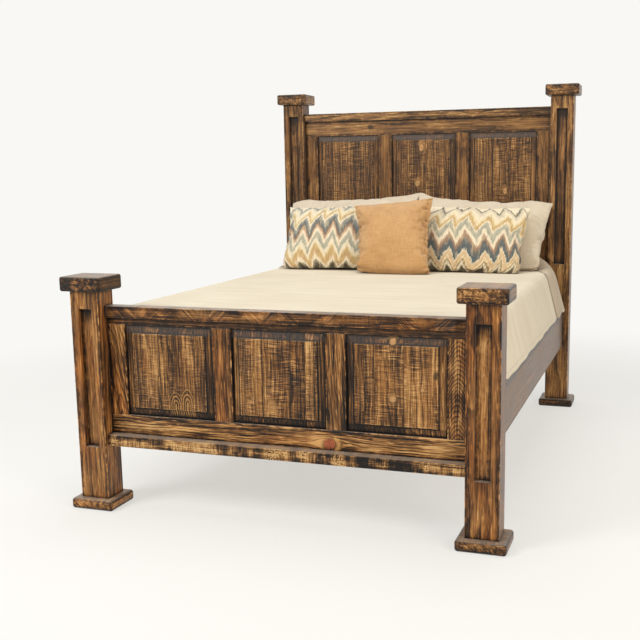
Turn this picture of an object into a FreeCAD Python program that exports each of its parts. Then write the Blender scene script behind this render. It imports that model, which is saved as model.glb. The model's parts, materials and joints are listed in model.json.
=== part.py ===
"""Rustic panel bed: four capped square posts, raised-panel head and foot boards, queen bedding.

Millimetres, +Z up, origin on the floor at the middle of the bed, -Y towards the foot.
"""
import FreeCAD, Part
import math
import os

Vector = FreeCAD.Vector

# Bedding: a queen mattress on a box spring
mattress_width = 1524.0
mattress_length = 2032.0
mattress_thickness = 203.0
mattress_corner_radius = 60.0
mattress_edge_radius = 40.0
box_spring_thickness = 165.0
box_spring_corner_radius = 45.0
box_spring_edge_radius = 8.0
bedding_side_gap = 9.0
bedding_foot_gap = 36.0
bedding_head_gap = 10.0
soft_gap = 0.3

# Coverlet: flat top, sides that hang over the rails, and a head end bunched up behind the pillows
coverlet_thickness = 5.0
coverlet_slack = 2.0
coverlet_drop = 230.0
coverlet_rail_gap = 3.0
coverlet_foot_tuck = 190.0
coverlet_head_setback = 10.0
fold_length = 430.0
fold_bulge = 20.0
fold_start_share = 0.5
fold_end_share = 0.6
hump_length = 140.0
hump_crest_setback = 60.0
hump_rise = 75.0
hump_end_share = 0.85
hump_shoulder_radius = 160.0

# Pillows and cushion, leaning on the headboard in three parallel rows
pillow_lean = 30.0
pillow_row_gap = 5.0
sham_width = 732.0
sham_height = 440.0
sham_thickness = 140.0
sham_draw = 26.0
sham_middle_gap = 6.0
sham_head_gap = 16.0
zigzag_width = 600.0
zigzag_height = 400.0
zigzag_thickness = 120.0
zigzag_draw = 20.0
left_zigzag_x = -415.0
right_zigzag_x = 312.0
cushion_side = 430.0
cushion_thickness = 130.0
cushion_draw = 18.0
cushion_x = -50.0
cushion_roll = 5.0
# From the seam to the crown: height above the seam, outline size and inward bow of its sides
pillow_level_shares = (0.0, 0.30, 0.62, 0.86, 1.0)
pillow_size_shares = (1.0, 0.95, 0.82, 0.60, 0.30)
pillow_bow_shares = (1.0, 0.55, -0.45, -1.2, -1.0)

# Posts, with a sunk panel in the front face
post_width = 122.0
post_depth = 105.0
foot_post_height = 928.0
head_post_height = 1765.0
post_tenon_side = 46.0
post_tenon_length = 18.0
pocket_strip_width = 32.0
pocket_depth = 21.0
pocket_top_margin = 70.0
foot_pocket_floor_gap = 251.0
head_pocket_floor_gap = 799.0
inset_thickness = 9.0
cap_overhang = 28.0
cap_thickness = 57.0
cap_edge_radius = 9.0
base_overhang = 31.0
base_thickness = 42.0
base_edge_radius = 12.0

# Head and foot boards: frame and raised panels between the posts
board_thickness = 28.0
footboard_setback = 59.0
headboard_setback = 37.0
cap_rail_overhang = 15.0
cap_rail_depth = 56.0
cap_rail_thickness = 45.0
footboard_cap_drop = 118.0
headboard_cap_drop = 113.0
footboard_top_rail_height = 27.0
headboard_top_rail_height = 83.0
footboard_bottom_rail_height = 77.0
headboard_bottom_rail_height = 110.0
headboard_floor_gap = 450.0
ledge_floor_gap = 256.0
ledge_thickness = 44.0
ledge_depth = 80.0
ledge_overhang = 40.0
outer_stile_width = 75.0
inner_stile_width = 77.0
panel_count = 3
groove_width = 10.0
groove_depth = 12.0
panel_growth_gap = 2.0
panel_reveal = 1.5
bevel_width = 33.0
field_step = 3.0
field_proud = 2.0
rail_tenon_length = 24.0
rail_tenon_height_share = 0.6
rail_tenon_depth_share = 0.4
joint_clearance = 0.4

# Side rails, cleats and slats
rail_thickness = 35.0
rail_height = 230.0
rail_floor_gap = 345.0
rail_inset = 33.0
cleat_width = 34.0
cleat_height = 38.0
cleat_rise = 10.0
slat_count = 5
slat_width = 89.0
slat_thickness = 19.0
slat_end_gap = 2.0
slat_foot_margin = 190.0

# Hook plates on the rail ends and slotted plates let into the posts
plate_width = 20.0
plate_height = 150.0
plate_thickness = 3.0
hook_thickness = 5.0
hook_height = 22.0
hook_end_margin = 35.0
hook_lip_drop = 8.0
hook_lip_thickness = 4.0

# Countersunk wood screws
screw_radius = 2.2
screw_head_radius = 4.4
screw_head_height = 2.6
screw_head_sink = 0.2
plate_screw_length = 32.0
plate_screw_end_margin = 10.0
cleat_screw_length = 54.0
cleat_screw_count = 6
slat_screw_length = 42.0

# How far cutting tools run past the faces they cut
overrun = 5.0

# Places that follow from the sizes above
rail_inner_x = mattress_width / 2 + bedding_side_gap
rail_outer_x = rail_inner_x + rail_thickness
rail_middle_x = (rail_inner_x + rail_outer_x) / 2
post_outer_x = rail_outer_x + rail_inset
post_inner_x = post_outer_x - post_width
rail_length = bedding_foot_gap + mattress_length + bedding_head_gap
foot_front_y = -rail_length / 2 - post_depth
head_front_y = rail_length / 2
mattress_foot_y = -rail_length / 2 + bedding_foot_gap
mattress_head_y = mattress_foot_y + mattress_length
rail_top_z = rail_floor_gap + rail_height
cleat_bottom_z = rail_floor_gap + cleat_rise
slat_bottom_z = cleat_bottom_z + cleat_height
slat_top_z = slat_bottom_z + slat_thickness
box_spring_bottom_z = slat_top_z + soft_gap
mattress_bottom_z = box_spring_bottom_z + box_spring_thickness + soft_gap
mattress_top_z = mattress_bottom_z + mattress_thickness
coverlet_top_z = mattress_top_z + coverlet_thickness
plate_middle_z = rail_floor_gap + rail_height / 2
hook_lip_start = plate_thickness + joint_clearance
hook_reach = hook_lip_start + hook_lip_thickness
opening_width = (
    2 * post_inner_x - 2 * outer_stile_width - (panel_count - 1) * inner_stile_width
) / panel_count

nodes = {}


def block(x0, x1, y0, y1, z0, z1):
    """Box between two opposite corners, given in any order."""
    low = Vector(min(x0, x1), min(y0, y1), min(z0, z1))
    return Part.makeBox(abs(x1 - x0), abs(y1 - y0), abs(z1 - z0), low)


def join(shapes):
    """One clean solid from shapes that touch or overlap."""
    return shapes[0].multiFuse(shapes[1:]).removeSplitter().Solids[0]


def cut(shape, tools):
    """The shape with all the tools taken out of it."""
    return shape.cut(Part.makeCompound(tools)).Solids[0] if tools else shape


def rounded_edges(solid, radius, keep=lambda edge: True):
    """Round the edges that keep(edge) picks, or all of them."""
    return solid.makeFillet(radius, [edge for edge in solid.Edges if keep(edge)])


def is_upright(edge):
    """True for an edge that runs along Z."""
    return abs(edge.Vertexes[0].Point.z - edge.Vertexes[-1].Point.z) > edge.Length / 2


# Screws


def screw_form(start, direction, length, gap):
    """Countersunk cone and shank from start, grown by a gap."""
    cone = Part.makeCone(
        screw_head_radius + gap, screw_radius + gap, screw_head_height, start, direction
    )
    shank = Part.makeCylinder(screw_radius + gap, length + gap, start, direction)
    return join([cone, shank])


def screw(head, direction, length):
    """Screw whose head lies just below the face at head."""
    start = head + direction * screw_head_sink
    return screw_form(start, direction, length - screw_head_sink, 0)


def screw_hole(head, direction, length):
    """Clear hole for the screw at head."""
    return screw_form(head, direction, length, joint_clearance)


def cleat_screw_places(side):
    """Head places of the screws through one cleat, spaced evenly between the slats."""
    x = side * (rail_inner_x - cleat_width)
    z = cleat_bottom_z + cleat_height / 2
    step = rail_length / cleat_screw_count
    first = -rail_length / 2 + step / 2
    return [Vector(x, first + step * number, z) for number in range(cleat_screw_count)]


def slat_middle_y(number):
    """Middle of a slat, counted from the foot."""
    first = mattress_foot_y + slat_foot_margin
    step = (mattress_length - 2 * slat_foot_margin) / (slat_count - 1)
    return first + step * number


def slat_screw_places(number):
    """Head places of the two screws through one slat's ends."""
    x = rail_inner_x - cleat_width / 2
    return [Vector(side * x, slat_middle_y(number), slat_top_z) for side in (-1, 1)]


def plate_screw_heights():
    """Heights of the two screws in each plate."""
    reach = plate_height / 2 - plate_screw_end_margin
    return [plate_middle_z - reach, plate_middle_z + reach]


# Hook plates and slotted plates


def plate(side, end, thickness, gap=0.0):
    """Flat plate that lies from the rail's end face along end * Y. A gap makes its recess."""
    joint_y = end * rail_length / 2
    return block(
        side * rail_middle_x - plate_width / 2 - gap,
        side * rail_middle_x + plate_width / 2 + gap,
        joint_y,
        joint_y + thickness,
        plate_middle_z - plate_height / 2 - gap,
        plate_middle_z + plate_height / 2 + gap,
    )


def hook_box(side, end, near, far, low, high, gap=0.0):
    """Upright slice of a hook, between two distances past the rail's end and two heights."""
    joint_y = end * rail_length / 2
    return block(
        side * rail_middle_x - hook_thickness / 2 - gap,
        side * rail_middle_x + hook_thickness / 2 + gap,
        joint_y + end * near,
        joint_y + end * far,
        low - gap,
        high + gap,
    )


def hook_spans():
    """Lowest and highest point of each hook's arm."""
    reach = plate_height / 2 - hook_end_margin
    middles = [plate_middle_z - reach, plate_middle_z + reach]
    return [(middle - hook_height / 2, middle + hook_height / 2) for middle in middles]


def hook_plate(side, end):
    """Plate let into a rail's end, with two hooks that reach through the post's plate."""
    shapes = [plate(side, end, -end * plate_thickness)]
    for low, high in hook_spans():
        shapes.append(hook_box(side, end, -plate_thickness, hook_reach, low, high))
        shapes.append(hook_box(side, end, hook_lip_start, hook_reach, low - hook_lip_drop, high))
    holes = [
        screw_hole(head, Vector(0, -end, 0), plate_screw_length)
        for head in plate_screw_heads(side, end)
    ]
    return cut(join(shapes), holes)


def slot_plate(side, end):
    """Plate let flush into a post, with a slot for each hook."""
    tools = [
        screw_hole(head, Vector(0, end, 0), plate_screw_length)
        for head in plate_screw_heads(side, end)
    ]
    for low, high in hook_spans():
        slot_top = high + hook_lip_drop
        slot_back = plate_thickness + overrun
        tools.append(hook_box(side, end, -overrun, slot_back, low, slot_top, joint_clearance))
    return cut(plate(side, end, end * plate_thickness), tools)


def plate_screw_heads(side, end):
    """Head places of the screws in one plate, on the face where the rail meets the post."""
    joint_y = end * rail_length / 2
    return [Vector(side * rail_middle_x, joint_y, z) for z in plate_screw_heights()]


def post_plate_tools(side, end):
    """Recess for the slotted plate, room for the hooks and pilot holes for its screws."""
    tools = [plate(side, end, end * plate_thickness, joint_clearance)]
    for low, high in hook_spans():
        tools.append(
            hook_box(
                side,
                end,
                -overrun,
                hook_reach + joint_clearance,
                low - hook_lip_drop,
                high + hook_lip_drop,
                joint_clearance,
            )
        )
    for head in plate_screw_heads(side, end):
        tools.append(screw_hole(head, Vector(0, end, 0), plate_screw_length))
    return tools


# Head and foot boards


def board_sizes(end):
    """Front face and main heights of the frame of the headboard (end 1) or footboard (end -1)."""
    if end > 0:
        front_y = head_front_y + headboard_setback
        cap_top = head_post_height - headboard_cap_drop
        bottom = headboard_floor_gap
        bottom_rail = headboard_bottom_rail_height
        top_rail = headboard_top_rail_height
    else:
        front_y = foot_front_y + footboard_setback
        cap_top = foot_post_height - footboard_cap_drop
        bottom = ledge_floor_gap + ledge_thickness
        bottom_rail = footboard_bottom_rail_height
        top_rail = footboard_top_rail_height
    return {
        "front_y": front_y,
        "cap_top": cap_top,
        "cap_bottom": cap_top - cap_rail_thickness,
        "opening_top": cap_top - cap_rail_thickness - top_rail,
        "opening_bottom": bottom + bottom_rail,
        "bottom": bottom,
    }


def rail_spans(end):
    """Depth and height limits (y0, y1, z0, z1) of every rail that is tenoned into two posts."""
    sizes = board_sizes(end)
    front = sizes["front_y"]
    back = front + board_thickness
    cap_front = front - cap_rail_overhang
    spans = {
        "cap_rail": (cap_front, cap_front + cap_rail_depth, sizes["cap_bottom"], sizes["cap_top"]),
        "top_rail": (front, back, sizes["opening_top"], sizes["cap_bottom"]),
        "bottom_rail": (front, back, sizes["bottom"], sizes["opening_bottom"]),
    }
    if end < 0:
        ledge_front = front - ledge_overhang
        ledge_top = ledge_floor_gap + ledge_thickness
        spans["ledge"] = (ledge_front, ledge_front + ledge_depth, ledge_floor_gap, ledge_top)
    return spans


def rail_tenon(span, gap=0.0):
    """Tenon that runs through a rail and out of both its ends. A gap makes its mortises."""
    y0, y1, z0, z1 = span
    y_half = (y1 - y0) / 2 * rail_tenon_depth_share + gap
    z_half = (z1 - z0) / 2 * rail_tenon_height_share + gap
    reach = post_inner_x + rail_tenon_length + gap
    y_middle = (y0 + y1) / 2
    z_middle = (z0 + z1) / 2
    y_limits = (y_middle - y_half, y_middle + y_half)
    z_limits = (z_middle - z_half, z_middle + z_half)
    return block(-reach, reach, *y_limits, *z_limits)


def groove_span(end):
    """Front and back of the groove in a board's frame."""
    start = board_sizes(end)["front_y"] + (board_thickness - groove_width) / 2
    return start, start + groove_width


def rail(end, name):
    """One rail with its two tenons, and with the panel groove where panels meet it."""
    y0, y1, z0, z1 = rail_spans(end)[name]
    beam = block(-post_inner_x, post_inner_x, y0, y1, z0, z1)
    shape = join([beam, rail_tenon((y0, y1, z0, z1))])
    groove_front, groove_back = groove_span(end)
    if name == "top_rail":
        groove = (z0 - overrun, z0 + groove_depth)
    elif name == "bottom_rail":
        groove = (z1 - groove_depth, z1 + overrun)
    else:
        return shape
    return cut(shape, [block(-post_inner_x, post_inner_x, groove_front, groove_back, *groove)])


def opening_x(number):
    """Left and right side of a panel opening, counted from the left."""
    left = -post_inner_x + outer_stile_width + number * (opening_width + inner_stile_width)
    return left, left + opening_width


def stile(end, x0, x1, groove_left, groove_right):
    """Upright of the frame, with stub tenons in the rails' grooves and grooves for the panels."""
    sizes = board_sizes(end)
    low, high = sizes["opening_bottom"], sizes["opening_top"]
    front = sizes["front_y"]
    groove_front, groove_back = groove_span(end)
    stub = groove_depth - joint_clearance
    upright = block(x0, x1, front, front + board_thickness, low, high)
    tongue_front = groove_front + joint_clearance
    tongue_back = groove_back - joint_clearance
    tongue = block(x0, x1, tongue_front, tongue_back, low - stub, high + stub)
    tools = []
    for wanted, inside, outside in (
        (groove_left, x0 + groove_depth, x0 - overrun),
        (groove_right, x1 - groove_depth, x1 + overrun),
    ):
        if wanted:
            low_end = low - groove_depth
            high_end = high + groove_depth
            tools.append(block(inside, outside, groove_front, groove_back, low_end, high_end))
    return cut(join([upright, tongue]), tools)


def rectangle(x0, x1, z0, z1, y):
    """Closed upright rectangle at a depth y."""
    corners = [Vector(x0, y, z0), Vector(x1, y, z0), Vector(x1, y, z1), Vector(x0, y, z1)]
    return Part.makePolygon(corners + corners[:1])


def raised_panel(end, number):
    """Panel with a tongue all round, a sloping border and a raised field."""
    sizes = board_sizes(end)
    x0, x1 = opening_x(number)
    z0, z1 = sizes["opening_bottom"], sizes["opening_top"]
    groove_front, groove_back = groove_span(end)
    tongue_front = groove_front + joint_clearance
    tongue_back = groove_back - joint_clearance
    reach = groove_depth - panel_growth_gap
    tongue = block(x0 - reach, x1 + reach, tongue_front, tongue_back, z0 - reach, z1 + reach)
    field_y = sizes["front_y"] - field_proud
    bevel_top_y = field_y + field_step

    def inset(margin):
        return x0 + margin, x1 - margin, z0 + margin, z1 - margin

    border = Part.makeLoft(
        [rectangle(*inset(panel_reveal), tongue_front), rectangle(*inset(bevel_width), bevel_top_y)],
        True,
        True,
    )
    fx0, fx1, fz0, fz1 = inset(bevel_width)
    field = block(fx0, fx1, field_y, bevel_top_y, fz0, fz1)
    return join([tongue, border, field])


def add_board(end, name):
    """All the pieces of the headboard (end 1) or the footboard (end -1)."""
    for part in rail_spans(end):
        nodes[f"{name}_{part}"] = rail(end, part)
    first_left = opening_x(0)[0]
    last_right = opening_x(panel_count - 1)[1]
    nodes[f"{name}_left_stile"] = stile(end, -post_inner_x, first_left, False, True)
    nodes[f"{name}_right_stile"] = stile(end, last_right, post_inner_x, True, False)
    for number in range(panel_count):
        nodes[f"{name}_panel_{number + 1}"] = raised_panel(end, number)
    for number in range(panel_count - 1):
        left = opening_x(number)[1]
        right = opening_x(number + 1)[0]
        nodes[f"{name}_inner_stile_{number + 1}"] = stile(end, left, right, True, True)


# Posts


def post_sizes(end):
    """Front face, overall height and pocket floor of a head (end 1) or foot (end -1) post."""
    if end > 0:
        return head_front_y, head_post_height, head_pocket_floor_gap
    return foot_front_y, foot_post_height, foot_pocket_floor_gap


def post_tenon(side, end, gap=0.0):
    """Square tenon through the post, out of its top and bottom. A gap makes its mortises."""
    front_y, height, _ = post_sizes(end)
    x = side * (post_inner_x + post_outer_x) / 2
    y = front_y + post_depth / 2
    half = post_tenon_side / 2 + gap
    low = base_thickness - post_tenon_length - gap
    high = height - cap_thickness + post_tenon_length + gap
    return block(x - half, x + half, y - half, y + half, low, high)


def pocket_span(side, end, gap=0.0):
    """Sides, bottom and top of the sunk panel in a post's front face."""
    _, height, floor_gap = post_sizes(end)
    sides = sorted((side * post_inner_x, side * post_outer_x))
    top = height - cap_thickness - pocket_top_margin
    left = sides[0] + pocket_strip_width + gap
    right = sides[1] - pocket_strip_width - gap
    return left, right, floor_gap + gap, top - gap


def post(side, end):
    """Square post with its tenons, sunk pocket, rail mortises and plate recess."""
    front_y, height, _ = post_sizes(end)
    inner, outer = side * post_inner_x, side * post_outer_x
    shaft_top = height - cap_thickness
    shaft = block(inner, outer, front_y, front_y + post_depth, base_thickness, shaft_top)
    left, right, low, high = pocket_span(side, end)
    pocket_back = front_y + pocket_depth + inset_thickness
    tools = [block(left, right, front_y - overrun, pocket_back, low, high)]
    tools += [rail_tenon(span, joint_clearance) for span in rail_spans(end).values()]
    tools += post_plate_tools(side, end)
    return cut(join([shaft, post_tenon(side, end)]), tools)


def pocket_inset(side, end):
    """Thin board on the floor of a post's pocket."""
    front_y, _, _ = post_sizes(end)
    left, right, low, high = pocket_span(side, end, joint_clearance)
    face = front_y + pocket_depth
    return block(left, right, face, face + inset_thickness, low, high)


def plinth(side, end, overhang, low, high, radius):
    """Block wider than the post, with eased edges and a mortise for the post's tenon."""
    front_y, _, _ = post_sizes(end)
    inner = side * (post_inner_x - overhang)
    outer = side * (post_outer_x + overhang)
    solid = block(inner, outer, front_y - overhang, front_y + post_depth + overhang, low, high)
    solid = rounded_edges(solid, radius)
    return cut(solid, [post_tenon(side, end, joint_clearance)])


def add_posts():
    """The four posts with their caps, bases and sunk panels."""
    for end, end_name in ((-1, "foot"), (1, "head")):
        height = post_sizes(end)[1]
        for side, side_name in ((-1, "left"), (1, "right")):
            name = f"{end_name}_{side_name}"
            nodes[f"{name}_post"] = post(side, end)
            nodes[f"{name}_inset"] = pocket_inset(side, end)
            nodes[f"{name}_cap"] = plinth(
                side, end, cap_overhang, height - cap_thickness, height, cap_edge_radius
            )
            nodes[f"{name}_base"] = plinth(side, end, base_overhang, 0, base_thickness, base_edge_radius)


# Side rails, cleats, slats and hardware


def side_rail(side):
    """Side rail with a plate recess in each end and holes for the screws."""
    board = block(
        side * rail_inner_x,
        side * rail_outer_x,
        -rail_length / 2,
        rail_length / 2,
        rail_floor_gap,
        rail_top_z,
    )
    tools = []
    for end in (-1, 1):
        tools.append(plate(side, end, -end * plate_thickness, joint_clearance))
        for head in plate_screw_heads(side, end):
            tools.append(screw_hole(head, Vector(0, -end, 0), plate_screw_length))
    for head in cleat_screw_places(side):
        tools.append(screw_hole(head, Vector(side, 0, 0), cleat_screw_length))
    return cut(board, tools)


def cleat(side):
    """Ledger strip along the inside of a side rail."""
    strip = block(
        side * (rail_inner_x - cleat_width),
        side * rail_inner_x,
        -rail_length / 2,
        rail_length / 2,
        cleat_bottom_z,
        slat_bottom_z,
    )
    tools = [
        screw_hole(head, Vector(side, 0, 0), cleat_screw_length)
        for head in cleat_screw_places(side)
    ]
    for number in range(slat_count):
        for head in slat_screw_places(number):
            tools.append(screw_hole(head, Vector(0, 0, -1), slat_screw_length))
    return cut(strip, tools)


def slat(number):
    """One cross slat with a screw hole at each end."""
    reach = rail_inner_x - slat_end_gap
    y = slat_middle_y(number)
    board = block(-reach, reach, y - slat_width / 2, y + slat_width / 2, slat_bottom_z, slat_top_z)
    holes = [
        screw_hole(head, Vector(0, 0, -1), slat_screw_length)
        for head in slat_screw_places(number)
    ]
    return cut(board, holes)


def add_side_frame():
    """Side rails, cleats, slats, plates and screws."""
    sides = ((-1, "left"), (1, "right"))
    corners = [(side, end) for side in (-1, 1) for end in (-1, 1)]
    for side, side_name in sides:
        nodes[f"{side_name}_side_rail"] = side_rail(side)
        nodes[f"{side_name}_cleat"] = cleat(side)
    for number in range(slat_count):
        nodes[f"slat_{number + 1}"] = slat(number)
    nodes["rail_hook_plates"] = Part.makeCompound([hook_plate(*corner) for corner in corners])
    nodes["post_slot_plates"] = Part.makeCompound([slot_plate(*corner) for corner in corners])
    plate_screws = [
        screw(head, Vector(0, way * end, 0), plate_screw_length)
        for side, end in corners
        for head in plate_screw_heads(side, end)
        for way in (-1, 1)
    ]
    cleat_screws = [
        screw(head, Vector(side, 0, 0), cleat_screw_length)
        for side, _ in sides
        for head in cleat_screw_places(side)
    ]
    slat_screws = [
        screw(head, Vector(0, 0, -1), slat_screw_length)
        for number in range(slat_count)
        for head in slat_screw_places(number)
    ]
    nodes["plate_screws"] = Part.makeCompound(plate_screws)
    nodes["cleat_screws"] = Part.makeCompound(cleat_screws)
    nodes["slat_screws"] = Part.makeCompound(slat_screws)


# Bedding


def soft_block(low_z, high_z, corner_radius, edge_radius):
    """Mattress-sized block with round corners and round top and bottom edges."""
    half = mattress_width / 2
    solid = block(-half, half, mattress_foot_y, mattress_head_y, low_z, high_z)
    solid = rounded_edges(solid, corner_radius, is_upright)
    return rounded_edges(solid, edge_radius, lambda edge: not is_upright(edge))


def arc(centre_x, centre_z, radius, start, end, y, side):
    """Arc at a depth y between two angles above the horizontal, mirrored for the left side."""
    points = []
    for angle in (start, (start + end) / 2, end):
        x = centre_x + radius * math.cos(angle)
        points.append(Vector(side * x, y, centre_z + radius * math.sin(angle)))
    return points


def coverlet_side(y, side, bulge, rise, inner_radius):
    """Outline of one hanging side: outer arc, outer hem, inner hem and inner arc, from the top."""
    outer_radius = inner_radius + coverlet_thickness
    centre_x = mattress_width / 2 + coverlet_slack - inner_radius
    centre_z = mattress_top_z + rise - inner_radius
    # The side hangs on the line that leaves the shoulder and just clears the rail's top edge
    to_rail_x = rail_outer_x + coverlet_rail_gap - centre_x
    to_rail_z = rail_top_z - centre_z
    slope = math.acos(inner_radius / math.hypot(to_rail_x, to_rail_z)) + math.atan2(to_rail_z, to_rail_x)
    centre_x += bulge
    hem_z = coverlet_top_z - coverlet_drop
    outer = arc(centre_x, centre_z, outer_radius, math.pi / 2, slope, y, side)
    inner = arc(centre_x, centre_z, inner_radius, math.pi / 2, slope, y, side)

    def hem(start):
        reach = abs(start.x) + (start.z - hem_z) * math.tan(slope)
        return Vector(side * reach, y, hem_z)

    return outer, hem(outer[-1]), hem(inner[-1]), inner


def coverlet_section(y, bulge, rise, radius):
    """Closed outline of the coverlet across the bed."""
    left_outer, left_hem, left_back, left_inner = coverlet_side(y, -1, bulge, rise, radius)
    right_outer, right_hem, right_back, right_inner = coverlet_side(y, 1, bulge, rise, radius)
    edges = [
        Part.makeLine(left_outer[0], right_outer[0]),
        Part.Arc(*right_outer).toShape(),
        Part.makeLine(right_outer[-1], right_hem),
        Part.makeLine(right_hem, right_back),
        Part.makeLine(right_back, right_inner[-1]),
        Part.Arc(*reversed(right_inner)).toShape(),
        Part.makeLine(right_inner[0], left_inner[0]),
        Part.Arc(*left_inner).toShape(),
        Part.makeLine(left_inner[-1], left_back),
        Part.makeLine(left_back, left_hem),
        Part.makeLine(left_hem, left_outer[-1]),
        Part.Arc(*reversed(left_outer)).toShape(),
    ]
    return Part.Wire(edges)


def coverlet():
    """Coverlet: top and hanging sides, a hump across the head end and a tucked foot."""
    head_y = mattress_head_y - coverlet_head_setback
    stations = (
        (mattress_foot_y, 0, 0, mattress_edge_radius),
        (head_y - fold_length, 0, 0, mattress_edge_radius),
        (head_y - hump_length, fold_bulge * fold_start_share, 0, mattress_edge_radius),
        (head_y - hump_crest_setback, fold_bulge, hump_rise, hump_shoulder_radius),
        (head_y, fold_bulge * fold_end_share, hump_rise * hump_end_share, hump_shoulder_radius),
    )
    cover = Part.makeLoft([coverlet_section(*station) for station in stations], True, True)
    half = mattress_width / 2 - mattress_edge_radius
    tuck = block(
        -half,
        half,
        mattress_foot_y - coverlet_thickness,
        mattress_foot_y,
        coverlet_top_z - coverlet_foot_tuck,
        coverlet_top_z,
    )
    return join([cover, tuck])


def pillow_outline(width, height, y, bow):
    """Four-cornered outline at a depth y whose sides bow inwards (or outwards if bow is negative)."""
    x, z = width / 2, height / 2
    corners = [Vector(-x, y, -z), Vector(x, y, -z), Vector(x, y, z), Vector(-x, y, z)]
    middles = [
        Vector(0, y, bow - z),
        Vector(x - bow, y, 0),
        Vector(0, y, z - bow),
        Vector(bow - x, y, 0),
    ]
    edges = [
        Part.Arc(corners[i], middles[i], corners[(i + 1) % len(corners)]).toShape()
        for i in range(len(corners))
    ]
    return Part.Wire(edges)


def pillow(width, height, thickness, draw):
    """Upright pillow about the origin: a seam all round, drawn-in sides and a crown each way."""
    levels = list(zip(pillow_level_shares, pillow_size_shares, pillow_bow_shares))
    sections = [(-level, size, bow) for level, size, bow in reversed(levels)]
    sections += levels[1:]
    wires = [
        pillow_outline(width * size, height * size, thickness / 2 * level, draw * bow)
        for level, size, bow in sections
    ]
    return Part.makeLoft(wires, True, True)


def leaning(solid, roll=0.0):
    """The pillow rolled in its own plane and leaned back."""
    turned = solid.copy()
    turned.rotate(Vector(0, 0, 0), Vector(0, 1, 0), -roll)
    turned.rotate(Vector(0, 0, 0), Vector(1, 0, 0), -pillow_lean)
    return turned


def resting_height(solid):
    """Height of a leaning pillow's middle when its lowest corner is just over the coverlet."""
    return coverlet_top_z + soft_gap - solid.BoundBox.ZMin


def add_pillows():
    """Shams at the back, zigzag pillows in front of them and one square cushion in front of those."""
    lean = math.radians(pillow_lean)
    sham = leaning(pillow(sham_width, sham_height, sham_thickness, sham_draw))
    zigzag = leaning(pillow(zigzag_width, zigzag_height, zigzag_thickness, zigzag_draw))
    cushion = leaning(pillow(cushion_side, cushion_side, cushion_thickness, cushion_draw), cushion_roll)
    sham_z = resting_height(sham)
    sham_y = head_front_y - sham_head_gap - sham.BoundBox.YMax
    zigzag_offset = (sham_thickness + zigzag_thickness) / 2 + pillow_row_gap
    cushion_offset = zigzag_offset + (zigzag_thickness + cushion_thickness) / 2 + pillow_row_gap
    sham_x = (sham_width + sham_middle_gap) / 2
    for name, solid, x, offset in (
        ("left_sham", sham, -sham_x, 0),
        ("right_sham", sham, sham_x, 0),
        ("left_zigzag_pillow", zigzag, left_zigzag_x, zigzag_offset),
        ("right_zigzag_pillow", zigzag, right_zigzag_x, zigzag_offset),
        ("tan_cushion", cushion, cushion_x, cushion_offset),
    ):
        z = resting_height(solid)
        y = sham_y + ((z - sham_z) * math.sin(lean) - offset) / math.cos(lean)
        nodes[name] = solid.translated(Vector(x, y, z))


def add_bedding():
    """Box spring, mattress, coverlet and pillows."""
    nodes["box_spring"] = soft_block(
        box_spring_bottom_z,
        box_spring_bottom_z + box_spring_thickness,
        box_spring_corner_radius,
        box_spring_edge_radius,
    )
    nodes["mattress"] = soft_block(
        mattress_bottom_z, mattress_top_z, mattress_corner_radius, mattress_edge_radius
    )
    nodes["coverlet"] = coverlet()
    add_pillows()


add_posts()
add_board(-1, "footboard")
add_board(1, "headboard")
add_side_frame()
add_bedding()

os.makedirs("parts", exist_ok=True)
for name, shape in nodes.items():
    if not shape.isValid():
        raise ValueError(f"{name} is not a valid shape")
    shape.exportStep(f"parts/{name}.step")
print(len(nodes), "nodes")
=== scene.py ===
"""Looks of a rustic stained-pine panel bed, dressed with a coverlet, two shams and three cushions.

Metres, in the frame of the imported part: +Z up, origin on the floor at the middle of the bed,
-Y towards the foot, +X to the right seen from the foot.
"""
import json
import math
import random

import bpy
import numpy as np
from mathutils import Matrix, Vector


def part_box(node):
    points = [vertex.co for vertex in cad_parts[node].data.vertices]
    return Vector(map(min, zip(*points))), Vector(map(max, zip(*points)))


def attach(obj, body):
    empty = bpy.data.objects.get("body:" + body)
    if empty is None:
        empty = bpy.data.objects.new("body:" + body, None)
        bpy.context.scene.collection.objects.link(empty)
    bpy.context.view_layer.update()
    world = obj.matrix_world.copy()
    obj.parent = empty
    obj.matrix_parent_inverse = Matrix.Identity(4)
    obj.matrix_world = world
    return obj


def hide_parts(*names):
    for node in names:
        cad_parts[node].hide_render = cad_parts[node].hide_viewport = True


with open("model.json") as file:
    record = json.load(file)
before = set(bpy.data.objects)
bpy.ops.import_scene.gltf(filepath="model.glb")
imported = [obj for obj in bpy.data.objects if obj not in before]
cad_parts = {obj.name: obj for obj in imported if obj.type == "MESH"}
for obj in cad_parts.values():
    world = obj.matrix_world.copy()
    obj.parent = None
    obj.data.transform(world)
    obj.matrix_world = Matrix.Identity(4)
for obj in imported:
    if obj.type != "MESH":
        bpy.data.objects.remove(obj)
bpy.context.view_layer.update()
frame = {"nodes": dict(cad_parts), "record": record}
slot_of = {part["node"]: part["material_slot"] for part in frame["record"]["subparts"]}
scene = bpy.context.scene
X, Y, Z = 0, 1, 2


# Node graphs


def linear(red, green, blue):
    """Linear colour of an sRGB colour given from 0 to 255."""
    shares = [value / 255 for value in (red, green, blue)]
    curve = [s / 12.92 if s <= 0.04045 else ((s + 0.055) / 1.055) ** 2.4 for s in shares]
    return (*curve, 1.0)


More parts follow.
